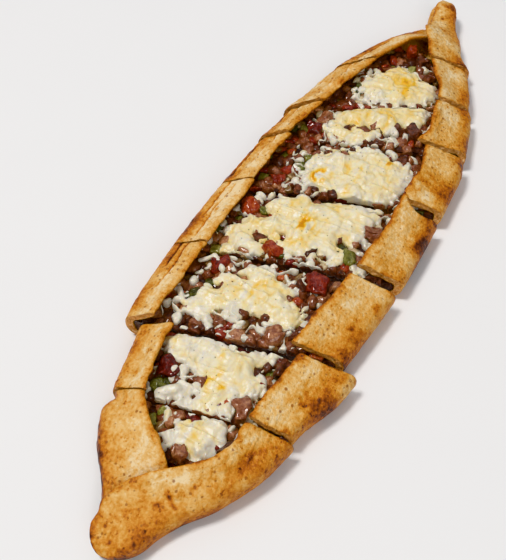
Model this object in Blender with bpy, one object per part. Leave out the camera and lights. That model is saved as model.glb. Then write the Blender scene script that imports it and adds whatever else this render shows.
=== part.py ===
"""A sliced turkish pide: a long boat of flat bread, folded over a chopped filling and cut in eight.

The loaf lies along X with its nearer nose at -X and rests on z = 0. It is shaped as one
whole loaf, in millimetres, and then cut by seven slanting cuts. Each slice is a dough
channel, the filling that runs through it, and the cheese and larger pieces on top.
"""

import math

import bmesh
import bpy
import numpy as np

MM = 0.001
GAP = 0.35

# The whole loaf: (distance along X, value) pairs, joined by smooth curves.
NEAR_TIP, FAR_TIP = -228.0, 228.0
HALF_WIDTH = (
    (-230, 11.5), (-214, 13.5), (-200, 20.5), (-184, 33.5), (-158, 45.5), (-130, 51),
    (-100, 57), (-20, 62), (50, 59.5), (106, 51.3), (153, 34.3), (188, 15.5), (200, 10.5),
    (212, 9.5), (230, 9),
)
CENTRE_LINE = (
    (-230, 12), (-210, 9), (-184, 9), (-158, 8), (-100, 5.5), (0, 0.5), (75, -1.8),
    (153, -0.7), (188, -2), (212, 4.5), (230, 8),
)
LEFT_FLAP = (
    (-230, 10), (-214, 16), (-200, 26), (-184, 41), (-170, 32), (-154, 22), (-130, 16.5),
    (-60, 20), (50, 17), (106, 18.6), (176, 19), (200, 14), (230, 12),
)
RIGHT_FLAP = (
    (-230, 30), (-214, 31), (-206, 33.5), (-200, 31), (-193, 30.5), (-184, 27),
    (-176, 20.5), (-168, 18.2), (-160, 18.2), (-150, 21.5), (-100, 26.5), (-30, 24.5),
    (75, 24), (130, 26), (176, 28), (200, 18), (230, 13),
)

# Heights of the dough's middle line: the left flap runs under the right one at each nose.
LIP_LEFT = (
    (-214, 6.2), (-206, 8), (-195, 12), (-184, 19), (-172, 24), (-150, 24.5), (160, 24.5),
    (172, 20.5), (182, 12), (192, 7.5), (202, 6.2),
)
FOLD_LEFT = (
    (-216, 6.4), (-206, 9.5), (-195, 14), (-180, 16.5), (170, 16.5), (186, 14.5), (198, 8),
    (206, 6.4),
)
FOLD_RIGHT = ((-216, 11.5), (-195, 13), (-180, 14), (170, 14), (200, 12.5), (210, 11.5))
LIP_RIGHT = (
    (-216, 12.5), (-206, 15), (-195, 19.5), (-184, 24), (-170, 24.5), (160, 24.5),
    (176, 26), (188, 20), (200, 14.5), (210, 12.5),
)
TIP_ROUND, TIP_LEAST = 14.0, 0.3
TIP_HEIGHT = 6.0
FAR_LIFT, FAR_LIFT_FROM = 5.0, 188.0
BASE_THICK, FLAP_THICK, LIP_THICK = 4.4, 3.6, 2.8
FULL_BASE, FULL_WALL, FULL_FLAP = 0.5, 0.75, 0.9
FLAP_DIP = 1.3
NEAR_CORNER, FAR_CORNER, CORNER_RUN = -184.0, 174.0, 14.0

# Where the base, wall and flap of a side have their shaping points.
BASE_SHARES = (0.5, 0.87)
WALL_SHARES = ((0.99, 0.16), (1.01, 0.74))
FLAP_SHARES = ((0.08, 0.1, 0.0), (0.38, 0.4, 1.0), (0.72, 0.76, 0.6), (1.0, 1.0, 0.0))
SHAPING_SPANS = 2 * (len(BASE_SHARES) + len(WALL_SHARES) + len(FLAP_SHARES))

# Seven cuts, near to far: place on the centre line, slant, gap at the left and right rim.
CUTS = (
    (-148.0, 0.18, 0.8, 1.4),
    (-103.5, 0.24, 1.6, 2.0),
    (-46.5, 0.25, 1.0, 6.0),
    (9.5, 0.29, 0.8, 6.0),
    (58.5, 0.39, 0.8, 3.0),
    (97.5, 0.55, 0.8, 1.6),
    (145.0, 0.56, 0.8, 1.6),
)
RIM = 60.0

# How far each slice has slid or turned, and how its flaps reach further in at each end:
# slide Y, turn in degrees, then left near, left far, right near, right far reach, and how
# far its left rim is pressed in at the near end.
MOVES = (
    (-8.5, 0.0, 0.0, 0.0, 0.0, 0.0, 0.0),
    (-9.0, -0.8, 0.0, 2.5, 0.0, 1.5, 2.5),
    (0.0, 0.0, 0.0, 0.0, 0.0, 0.0, 0.0),
    (0.0, 0.0, 0.0, 1.5, 0.0, -2.5, 0.0),
    (0.0, 0.0, 0.0, 0.0, -1.0, 1.0, 0.0),
    (0.0, 0.5, -1.5, 0.0, 6.0, 0.0, 1.0),
    (0.0, 0.0, 1.0, 1.0, -1.0, 0.0, 0.0),
    (0.0, -0.5, 0.0, 0.0, 2.0, 0.0, 0.0),
)
EAR_SLICE, EAR_RISE, EAR_FROM = 4, 6.0, 0.55

# The filling runs under both flaps between these two places round the dough.
FILL_FROM, FILL_TO, FILL_LIP = 0.165, 0.835, 0.02
CROWN = 2.2
FILL_NEAR, FILL_FAR = -176.0, 164.0
FILL_TAPER = 14.0
FILL_INSET, NOSE_INSET = 0.5, 1.8

# The filling's bumps: their height, and the lengths of the waves that make them.
BUMP_HEIGHT = 0.55
BUMP_X, BUMP_Y, BUMP_SLANT = 4.1, 4.7, 9.0
BUMP_BEND, BUMP_BEND_Y = 1.3, 6.0

# Melted cheese: slice, centre X and Y, half sizes, turn, lobe depth, top height.
CHEESE = (
    (1, -159, 1, 11, 14, 0, 0.06, 18.5),
    (2, -121, 8, 20, 29, 0, 0.16, 20.0),
    (2, -145, 23, 6, 6, 0, 0.08, 18.5),
    (3, -77, 6, 21, 33, 20, 0.14, 20.5),
    (4, -19, 3, 26, 36, 20, 0.12, 21.0),
    (5, 34, -5, 24, 31, 8, 0.08, 21.5),
    (6, 80, 5, 20, 28, 18, 0.12, 21.0),
    (7, 120, 2, 19, 25, 22, 0.10, 21.0),
    (7, 141, -3, 5, 6, 0, 0.08, 18.5),
)
CHEESE_SUNK = 11.0
CHEESE_DOME = ((0.35, 0.0), (0.8, 0.14), (0.97, 0.4), (1.0, 1.0))
CHEESE_ROUND = 15
CHEESE_LOBES, CHEESE_SMALL_LOBES = 3, 5
CHEESE_CLEAR, LIP_CLEAR = 0.4, 2.0
SEARCH_REACH, SEARCH_STEP = 80.0, 0.25

# Larger diced pieces: slice, centre X and Y, length, width, height, turn.
TOMATO = (
    (2, -135, 33, 11, 9, 8, 20),
    (3, -52, -20, 11, 10, 8, 30),
    (3, -62, 34, 10, 8, 7, -30),
    (4, -17, 38, 9, 9, 8, 15),
    (4, -41, 12, 9, 8, 8, 75),
    (5, 10, 34, 8, 8, 7, 45),
    (6, 59, 34, 9, 8, 8, 10),
    (8, 159, 7, 7, 6, 7, 35),
)
MEAT = (
    (1, -171, 3, 8, 7, 6, 20),
    (1, -161, -17, 9, 7, 7, -20),
    (2, -138, -12, 11, 9, 8, 40),
    (2, -109, -19, 9, 8, 8, 10),
    (3, -91, -14, 12, 9, 8, -35),
    (4, -5, -32, 10, 9, 8, 15),
    (6, 71, 31, 10, 8, 8, -10),
    (6, 84, -22, 11, 8, 8, 40),
    (7, 138, -13, 8, 6, 7, -25),
    (8, 153, -3, 8, 7, 7, 50),
)
PEPPER = (
    (2, -146, 30, 8, 6, 5, 70),
    (3, -88, 36, 10, 6, 5, -30),
    (4, -26, -28, 9, 6, 5, 25),
    (7, 107, 24, 8, 6, 5, 15),
)
CHUNK_HEIGHT = 16.0

# Shapes of a chunk as shares of its size: bevel, swell, taper, and its top's two slopes.
CHUNK_BEVEL = 0.18
CHUNK_SWELL, CHUNK_TAPER = 0.16, 0.14
CHUNK_SLOPE_X, CHUNK_SLOPE_Y = 0.05, 0.07

# Mesh fineness: points on each half of the dough, stations along a slice and a nose slice,
# how the nose's stations crowd to its tip, rounds that settle x and y, and the cutters' top.
HALF_POINTS = 10
STATIONS, NOSE_STATIONS, FILL_STATIONS, FILL_POINTS = 5, 8, 6, 10
NOSE_CROWDING = 1.5
ROUNDS = 8
ROOM_TOP = 40.0

COLOURS = {
    "dough": ((0.70, 0.42, 0.15), 0.7),
    "filling": ((0.20, 0.08, 0.045), 0.35),
    "cheese": ((0.86, 0.76, 0.48), 0.4),
    "tomato": ((0.45, 0.04, 0.015), 0.3),
    "meat": ((0.22, 0.08, 0.05), 0.45),
    "pepper": ((0.16, 0.20, 0.03), 0.35),
}


def along(pairs, x):
    """Smooth curve through (x, value) pairs, with no overshoot.

    The pieces are cubics. The slope at a pair is the harmonic mean of the slopes of the
    straight lines beside it, or 0 where those lines turn.
    """
    px, pv = np.array(pairs, float).T
    line = np.diff(pv) / np.diff(px)
    before, after = line[:-1], line[1:]
    same = before * after > 0
    total = np.where(same, before + after, 1.0)
    slope = np.concatenate([line[:1], np.where(same, 2 * before * after / total, 0), line[-1:]])
    i = np.clip(np.searchsorted(px, x) - 1, 0, len(px) - 2)
    step = px[i + 1] - px[i]
    t = np.clip((x - px[i]) / step, 0.0, 1.0)
    rise = (2 * t**3 - 3 * t**2 + 1) * pv[i] + (3 * t**2 - 2 * t**3) * pv[i + 1]
    lean = (t**3 - 2 * t**2 + t) * slope[i] + (t**3 - t**2) * slope[i + 1]
    return rise + lean * step


def ease(low, high, x):
    """0 below low, 1 above high, smooth between; low may be the larger."""
    t = np.clip((x - low) / (high - low), 0.0, 1.0)
    return t * t * (3.0 - 2.0 * t)


def mix(a, b, share):
    """Blend from a to b."""
    return a + (b - a) * share


def cut_plane(index, side, y):
    """X of a cut at y; side is -1 for the face of the nearer slice and 1 for the farther."""
    place, slant, gap_left, gap_right = CUTS[index]
    gap = mix(gap_right, gap_left, np.clip((y / RIM + 1.0) / 2.0, 0.0, 1.0))
    return place - slant * y + side * gap / 2.0


class Slice:
    """One slice: its two ends, and how its flaps differ from the whole loaf's."""

    def __init__(self, number):
        self.number = number
        self.slide_y, self.turn, *self.reach, self.press = MOVES[number - 1]

    def near_end(self, y):
        """X of the slice's nearer end at y."""
        if self.number == 1:
            return np.full_like(y, NEAR_TIP)
        return cut_plane(self.number - 2, 1, y)

    def far_end(self, y):
        """X of the slice's farther end at y."""
        if self.number == len(MOVES):
            return np.full_like(y, FAR_TIP)
        return cut_plane(self.number - 1, -1, y)

    def edges(self, x, u):
        """Y of the left rim, left lip, right lip and right rim at x, u along the slice."""
        left_near, left_far, right_near, right_far = self.reach
        centre, half = along(CENTRE_LINE, x), along(HALF_WIDTH, x)
        left, right = centre + half, centre - half
        left_lip = left - along(LEFT_FLAP, x) - mix(left_near, left_far, u)
        right_lip = right + along(RIGHT_FLAP, x) + mix(right_near, right_far, u)
        return left - self.press * (1.0 - u), left_lip, right_lip, right

    def heights(self, x, u):
        """Heights of the left lip, left fold, right fold and right lip at x."""
        lip_right = along(LIP_RIGHT, x)
        if self.number == EAR_SLICE:
            lip_right = lip_right + EAR_RISE * ease(EAR_FROM, 1.0, u)
        return along(LIP_LEFT, x), along(FOLD_LEFT, x), along(FOLD_RIGHT, x), lip_right

    def shaping_points(self, x, u):
        """Points (y, z) that draw the dough's middle line, from the left lip to the right."""
        left, left_lip, right_lip, right = self.edges(x, u)
        lip_left, fold_left, fold_right, lip_right = self.heights(x, u)
        centre = (left + right) / 2.0
        base = np.full_like(x, BASE_THICK / 2.0)
        hollow = FLAP_DIP * ease(NEAR_CORNER, NEAR_CORNER + CORNER_RUN, x)
        hollow = hollow * ease(FAR_CORNER, FAR_CORNER - CORNER_RUN, x)
        sides = []
        for rim, lip, fold, top in (
            (left - FLAP_THICK / 2, left_lip, fold_left, lip_left),
            (right + FLAP_THICK / 2, right_lip, fold_right, lip_right),
        ):
            points = [(mix(centre, rim, share), base) for share in BASE_SHARES]
            points += [(mix(centre, rim, out), mix(base, fold, up)) for out, up in WALL_SHARES]
            for share, up, dip in FLAP_SHARES:
                points.append((mix(rim, lip, share), mix(fold, top, up) - hollow * dip))
            sides.append(points)
        line = sides[0][::-1] + [(centre, base)] + sides[1]
        first = [2 * a - b for a, b in zip(line[0], line[1])]
        last = [2 * a - b for a, b in zip(line[-1], line[-2])]
        return np.array([first, *line, last])

    def skin(self, u, x, v, side, inset):
        """Y and z of a point on the dough: v round it, side 1 outside or -1 inside."""
        points = self.shaping_points(x, u)
        place = np.clip(v, 0.0, 1.0) * SHAPING_SPANS
        i = np.minimum(place.astype(int), SHAPING_SPANS - 1)
        t = place - i
        weights = ((1 - t) ** 3, 3 * t**3 - 6 * t**2 + 4, 3 * (t + t**2 - t**3) + 1, t**3)
        slopes = (-((1 - t) ** 2), 3 * t**2 - 4 * t, 1 + 2 * t - 3 * t**2, t**2)
        k = np.arange(len(x))
        middle = sum(w * points[i + n, :, k].T for n, w in enumerate(weights)) / 6.0
        run = sum(w * points[i + n, :, k].T for n, w in enumerate(slopes))
        out = np.array([-run[1], run[0]]) / np.hypot(*run)
        round_off = np.abs(2 * v - 1)
        thick = BASE_THICK - (BASE_THICK - FLAP_THICK) * ease(FULL_BASE, FULL_WALL, round_off)
        thick = thick - (FLAP_THICK - LIP_THICK) * ease(FULL_FLAP, 1.0, round_off)
        y, z = middle + out * side * (thick / 2 - inset)
        from_tip = np.minimum(x - NEAR_TIP, FAR_TIP - x)
        scale = np.sqrt(np.clip(1 - (1 - np.minimum(from_tip / TIP_ROUND, 1)) ** 2, 0, 1))
        scale = np.maximum(scale, TIP_LEAST)
        centre = along(CENTRE_LINE, x)
        lift = FAR_LIFT * ease(FAR_LIFT_FROM, FAR_TIP, x)
        return centre + scale * (y - centre), TIP_HEIGHT + scale * (z - TIP_HEIGHT) + lift

    def on_slice(self, u, v, side, inset=0.0, low=None, high=None):
        """Points of the dough with their x on the slice's own slanted planes."""
        y = np.zeros_like(u)
        for _ in range(ROUNDS):
            near, far = self.near_end(y), self.far_end(y)
            near = near if low is None else np.maximum(near, low)
            far = far if high is None else np.minimum(far, high)
            x = mix(near, far, u)
            y, z = self.skin(u, x, v, side, inset)
        return np.stack([x, y, z], axis=-1)


def new_object(name, mesh, kind, parent):
    """Link a mesh under a name, with the material of its kind, under its slice's empty."""
    material = bpy.data.materials.get(kind)
    if material is None:
        colour, roughness = COLOURS[kind]
        material = bpy.data.materials.new(kind)
        material.use_nodes = True
        shader = material.node_tree.nodes["Principled BSDF"]
        shader.inputs["Base Color"].default_value = (*colour, 1.0)
        shader.inputs["Roughness"].default_value = roughness
    mesh.materials.append(material)
    obj = bpy.data.objects.new(name, mesh)
    bpy.context.scene.collection.objects.link(obj)
    obj.parent = parent
    return obj


def ring_mesh(name, rings):
    """Closed mesh through rings of (stations, points, 3); each ring is two facing paths."""
    stations, count, _ = rings.shape
    index = np.arange(stations * count).reshape(stations, count)
    across = np.roll(index, -1, axis=1)
    walls = np.stack([index[:-1], across[:-1], across[1:], index[1:]], axis=-1).reshape(-1, 4)
    half = count // 2
    caps = []
    for ring in (index[0], index[-1][::-1]):
        path, back = ring[:half], ring[half:][::-1]
        caps.append(np.stack([path[:-1], back[:-1], back[1:], path[1:]], axis=-1))
    faces = np.concatenate([walls, *caps])
    mesh = bpy.data.meshes.new(name)
    mesh.from_pydata((rings.reshape(-1, 3) * MM).tolist(), [], faces.tolist())
    shape = bmesh.new()
    shape.from_mesh(mesh)
    bmesh.ops.recalc_face_normals(shape, faces=shape.faces)
    bmesh.ops.triangulate(shape, faces=shape.faces)
    shape.to_mesh(mesh)
    shape.free()
    return mesh


def dough(piece, parent):
    """The dough channel of one slice: base, walls and two folded flaps."""
    steps = np.linspace(0.0, 1.0, STATIONS)
    if piece.number == 1:
        steps = np.linspace(0.0, 1.0, NOSE_STATIONS) ** NOSE_CROWDING
    if piece.number == len(MOVES):
        steps = 1.0 - np.linspace(1.0, 0.0, NOSE_STATIONS) ** NOSE_CROWDING
    round_it = np.linspace(0.0, 1.0, 2 * HALF_POINTS - 1)
    u, v = np.meshgrid(steps, round_it, indexing="ij")
    outside = piece.on_slice(u.ravel(), v.ravel(), 1).reshape(*u.shape, 3)
    inside = piece.on_slice(u.ravel(), v.ravel(), -1).reshape(*u.shape, 3)
    rings = np.concatenate([outside, inside[:, ::-1]], axis=1)
    name = f"dough_{piece.number}"
    return new_object(name, ring_mesh(name, rings), "dough", parent)


def filling(piece, parent):
    """The filling of one slice: it follows the dough's inside and has an uneven top."""
    steps = np.linspace(0.0, 1.0, FILL_STATIONS)
    span = np.linspace(FILL_FROM, FILL_TO, FILL_POINTS)
    u, v = np.meshgrid(steps, span, indexing="ij")
    reach = {"low": FILL_NEAR, "high": FILL_FAR}
    reach["inset"] = -(NOSE_INSET if piece.number in (1, len(MOVES)) else FILL_INSET)
    lower = piece.on_slice(u.ravel(), v.ravel(), -1, **reach).reshape(*u.shape, 3)
    ends = []
    for place in (FILL_FROM - FILL_LIP, FILL_TO + FILL_LIP):
        at = np.full_like(steps, place)
        ends.append(piece.on_slice(steps, at, -1, **reach)[:, None])
    share = np.linspace(0.0, 1.0, FILL_POINTS)[None, :, None]
    upper = mix(ends[0], ends[1], share)
    x, y = upper[..., 0], upper[..., 1]
    arch = np.sin(np.pi * share[..., 0])
    arch = arch * ease(FILL_NEAR, FILL_NEAR + FILL_TAPER, x)
    arch = arch * ease(FILL_FAR, FILL_FAR - FILL_TAPER, x)
    bumps = np.sin(x / BUMP_X + BUMP_BEND * np.sin(y / BUMP_BEND_Y))
    bumps = bumps + np.cos(y / BUMP_Y - x / BUMP_SLANT)
    upper[..., 2] += arch * (CROWN + BUMP_HEIGHT * bumps)
    rings = np.concatenate([lower, upper[:, ::-1]], axis=1)
    name = f"filling_{piece.number}"
    return new_object(name, ring_mesh(name, rings), "filling", parent)


def room_around(piece, centre_x, centre_y, angle):
    """Distance from a place to the slice's cut faces and lips, along each angle."""
    reach = np.arange(SEARCH_STEP, SEARCH_REACH, SEARCH_STEP)[:, None]
    x = centre_x + reach * np.cos(angle)
    y = centre_y + reach * np.sin(angle)
    _, left_lip, right_lip, _ = piece.edges(x, np.full_like(x, 0.5))
    inside = (x > piece.near_end(y) + CHEESE_CLEAR) & (x < piece.far_end(y) - CHEESE_CLEAR)
    side_clear = LIP_CLEAR + CHEESE_CLEAR
    inside &= (y < left_lip - side_clear) & (y > right_lip + side_clear)
    inside &= (x > FILL_NEAR + LIP_CLEAR) & (x < FILL_FAR - LIP_CLEAR)
    return reach[np.argmin(inside, axis=0), 0]


def cheese_shape(name, piece, row, grow, top):
    """A melted patch: a lobed outline, domed above and straight where a cut or lip ends it."""
    _, centre_x, centre_y, half_x, half_y, turn, lobes, height = row
    angle = np.linspace(0.0, 2 * np.pi, CHEESE_ROUND, endpoint=False)
    lean = angle - math.radians(turn)
    oval = 1.0 / np.hypot(np.cos(lean) / half_x, np.sin(lean) / half_y)
    wave = np.sin(CHEESE_LOBES * angle + centre_x) + np.sin(CHEESE_SMALL_LOBES * angle) / 2
    radius = np.minimum(oval * (1 + lobes * wave), room_around(piece, centre_x, centre_y, angle))
    radius = radius + grow
    floor = CHEESE_SUNK - grow
    levels = [(share, mix(height, floor, drop)) for share, drop in CHEESE_DOME]
    if top is not None:
        levels = [(1.0, top), (1.0, floor)]
    rings = [
        np.stack([centre_x + radius * share * np.cos(angle),
                  centre_y + radius * share * np.sin(angle),
                  np.full_like(angle, z)], axis=-1)
        for share, z in levels
    ]
    return star_mesh(name, np.array(rings))


def star_mesh(name, rings):
    """Closed mesh of stacked rings, with one flat face above and one below."""
    shape = bmesh.new()
    loops = [[shape.verts.new(point * MM) for point in ring] for ring in rings]
    count = len(loops[0])
    for above, below in zip(loops, loops[1:]):
        for n in range(count):
            m = (n + 1) % count
            shape.faces.new((above[n], below[n], below[m], above[m]))
    shape.faces.new(loops[0])
    shape.faces.new(loops[-1][::-1])
    bmesh.ops.recalc_face_normals(shape, faces=shape.faces)
    mesh = bpy.data.meshes.new(name)
    shape.to_mesh(mesh)
    shape.free()
    return mesh


def chunk_mesh(name, row, grow):
    """One diced piece: a block with bevelled edges, a little out of square."""
    _, centre_x, centre_y, length, width, height, turn = row
    shape = bmesh.new()
    bmesh.ops.create_cube(shape, size=1.0)
    bmesh.ops.bevel(shape, geom=shape.edges[:], offset=CHUNK_BEVEL, segments=1,
                    affect="EDGES", profile=0.5)
    lean = math.radians(turn)
    for vert in shape.verts:
        x, y, z = vert.co
        x *= (length + 2 * grow) * (1 + CHUNK_SWELL * z)
        y *= (width + 2 * grow) * (1 - CHUNK_TAPER * z)
        z = z * (height + 2 * grow) + CHUNK_SLOPE_X * x - CHUNK_SLOPE_Y * y
        vert.co = (
            (centre_x + x * math.cos(lean) - y * math.sin(lean)) * MM,
            (centre_y + x * math.sin(lean) + y * math.cos(lean)) * MM,
            (CHUNK_HEIGHT + z) * MM,
        )
    bmesh.ops.recalc_face_normals(shape, faces=shape.faces)
    mesh = bpy.data.meshes.new(name)
    shape.to_mesh(mesh)
    shape.free()
    return mesh


def cut_with(target, mesh, parent):
    """Take a shape away from an object with a hidden cutter."""
    cutter = bpy.data.objects.new(mesh.name, mesh)
    bpy.context.scene.collection.objects.link(cutter)
    cutter.parent = parent
    cutter.hide_render = True
    cutter.display_type = "WIRE"
    boolean = target.modifiers.new(mesh.name, "BOOLEAN")
    boolean.operation = "DIFFERENCE"
    boolean.solver = "EXACT"
    boolean.object = cutter


def main():
    """Clear the scene and build the eight slices."""
    for obj in list(bpy.data.objects):
        bpy.data.objects.remove(obj, do_unlink=True)
    chunks = {"tomato": TOMATO, "meat": MEAT, "pepper": PEPPER}
    for number in range(1, len(MOVES) + 1):
        piece = Slice(number)
        parent = bpy.data.objects.new(f"slice_{number}", None)
        bpy.context.scene.collection.objects.link(parent)
        pivot_x = float(np.mean([piece.near_end(np.zeros(1)), piece.far_end(np.zeros(1))]))
        turn = math.radians(piece.turn)
        parent.rotation_euler = (0.0, 0.0, turn)
        parent.location = (
            pivot_x * (1 - math.cos(turn)) * MM,
            (piece.slide_y - pivot_x * math.sin(turn)) * MM,
            0.0,
        )
        dough(piece, parent)
        under = [filling(piece, parent)]
        for order, row in enumerate(CHEESE, 1):
            if row[0] == number:
                name = f"cheese_{order}"
                patch = cheese_shape(name, piece, row, 0.0, None)
                for target in under:
                    room = cheese_shape(f"{name}_room", piece, row, GAP, ROOM_TOP)
                    cut_with(target, room, parent)
                under.append(new_object(name, patch, "cheese", parent))
        for kind, rows in chunks.items():
            for order, row in enumerate(rows, 1):
                if row[0] == number:
                    name = f"{kind}_{order}"
                    for target in under:
                        room = chunk_mesh(f"{name}_room", row, GAP)
                        cut_with(target, room, parent)
                    new_object(name, chunk_mesh(name, row, 0.0), kind, parent)


main()
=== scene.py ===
"""Looks of a sliced turkish pide: baked dough, a chopped filling and melted cheese.

The loaf lies along X with its nearer nose at -X. Every shape is worked out in millimetres
on the uncut loaf, and then moved with its slice.
"""
import logging
import math
from dataclasses import dataclass, field
from enum import Enum

import bpy
import numpy as np
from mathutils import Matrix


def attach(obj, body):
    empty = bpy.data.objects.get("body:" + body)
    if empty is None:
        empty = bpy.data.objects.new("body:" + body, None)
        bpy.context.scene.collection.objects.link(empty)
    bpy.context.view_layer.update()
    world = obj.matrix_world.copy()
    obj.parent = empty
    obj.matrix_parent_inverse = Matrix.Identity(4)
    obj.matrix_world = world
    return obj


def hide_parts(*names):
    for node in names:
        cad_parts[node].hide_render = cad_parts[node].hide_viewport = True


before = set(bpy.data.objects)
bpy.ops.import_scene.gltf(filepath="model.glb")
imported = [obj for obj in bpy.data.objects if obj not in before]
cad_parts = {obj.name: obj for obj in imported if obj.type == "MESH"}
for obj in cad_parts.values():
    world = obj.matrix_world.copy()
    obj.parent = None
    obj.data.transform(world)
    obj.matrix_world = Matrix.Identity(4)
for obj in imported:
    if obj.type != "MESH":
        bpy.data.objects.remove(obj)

import openvdb
from mathutils import Matrix, Vector

LOG = logging.getLogger("pide")
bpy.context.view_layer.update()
MM = 0.001
Pairs = tuple[tuple[float, float], ...]
Spot = tuple[float, float]


# Arithmetic that every piece uses.


def along(pairs: Pairs, x: np.ndarray) -> np.ndarray:
    """Smooth curve through (x, value) pairs, with no overshoot.

    The pieces are cubics. The slope at a pair is the harmonic mean of the slopes of the
    straight lines beside it, or 0 where those lines turn.

    Args:
        pairs: places and values, in order of place.
        x: places to read.

    Returns:
        The values at x.
    """
    px, pv = np.array(pairs, float).T
    line = np.diff(pv) / np.diff(px)
    before, after = line[:-1], line[1:]
    same = before * after > 0
    total = np.where(same, before + after, 1.0)
    slope = np.concatenate([line[:1], np.where(same, 2 * before * after / total, 0), line[-1:]])
    i = np.clip(np.searchsorted(px, x) - 1, 0, len(px) - 2)
    step = px[i + 1] - px[i]
    t = np.clip((x - px[i]) / step, 0.0, 1.0)
    rise = (2 * t**3 - 3 * t**2 + 1) * pv[i] + (3 * t**2 - 2 * t**3) * pv[i + 1]
    lean = (t**3 - 2 * t**2 + t) * slope[i] + (t**3 - t**2) * slope[i + 1]
    return rise + lean * step


def ease(low: float, high: float, x: np.ndarray) -> np.ndarray:
    """0 below low, 1 above high and smooth between; low may be the larger."""
    t = np.clip((x - low) / (high - low), 0.0, 1.0)
    return t * t * (3.0 - 2.0 * t)


def mix(a: np.ndarray, b: np.ndarray, share: np.ndarray) -> np.ndarray:
    """Blend from a to b."""
    return a + (b - a) * share


def bell(x: np.ndarray, width: float) -> np.ndarray:
    """1 at 0, falling off smoothly within about the width."""
    return np.exp(-((x / width) ** 2))


def scramble(cell: np.ndarray, seed: int) -> np.ndarray:
    """A random number from 0 to 1 for each whole-numbered cell (..., 3)."""
    at = cell.astype(np.int64).astype(np.uint64)
    code = at[..., 0] * np.uint64(374761393) + at[..., 1] * np.uint64(668265263)
    code = code + at[..., 2] * np.uint64(2246822519) + np.uint64(seed * 3266489917)
    code = (code ^ (code >> np.uint64(13))) * np.uint64(1274126177)
    return ((code ^ (code >> np.uint64(16))) & np.uint64(0xFFFFFF)) / float(0xFFFFFF)


def noise(points: np.ndarray, size: float, seed: int) -> np.ndarray:
    """Smooth noise from -1 to 1: random values on a cubic lattice, blended between corners.

    Args:
        points: places, of shape (..., 3), in millimetres.
        size: the lattice's spacing in millimetres.
        seed: chooses the values.

    Returns:
        One value for each place.
    """
    place = points / size + seed * 7.31
    low = np.floor(place)
    t = place - low
    t = t * t * t * (t * (t * 6.0 - 15.0) + 10.0)
    total = np.zeros(points.shape[:-1])
    for corner in np.ndindex(2, 2, 2):
        weight = np.prod(np.where(np.array(corner) == 1, t, 1.0 - t), axis=-1)
        total += weight * (2.0 * scramble(low + corner, seed) - 1.0)
    return total


def domes(points: np.ndarray, size: float, seed: int) -> np.ndarray:
    """A field of round domes: 1 at the nearest of scattered centres, 0 between them.

    Each square cell of the given size, seen from above, holds one centre at a random
    place. The value is 1 less the square of the distance to the nearest, over a reach.

    Args:
        points: places, of shape (..., 3), in millimetres.
        size: the cells' size in millimetres.
        seed: chooses the centres.

    Returns:
        One value for each place, from 0 to 1.
    """
    place = points * (1.0 / size, 1.0 / size, 0.0)
    cell = np.floor(place)
    nearest = np.full(points.shape[:-1], 9.0)
    for step in np.ndindex(3, 3):
        at = cell + (step[0] - 1, step[1] - 1, 0)
        centre_x = at[..., 0] + 0.15 + 0.7 * scramble(at, seed)
        centre_y = at[..., 1] + 0.15 + 0.7 * scramble(at, seed + 1)
        gap = (place[..., 0] - centre_x) ** 2 + (place[..., 1] - centre_y) ** 2
        nearest = np.minimum(nearest, gap)
    return np.clip(1.0 - nearest / 0.6, 0.0, 1.0)


def ripple(x: np.ndarray, size: float, seed: int) -> np.ndarray:
    """Smooth noise from -1 to 1 along one direction."""
    points = np.stack([x, np.zeros_like(x), np.zeros_like(x)], axis=-1)
    return noise(points, size, seed)


# The uncut loaf and its cuts, as the frame has them.


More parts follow.
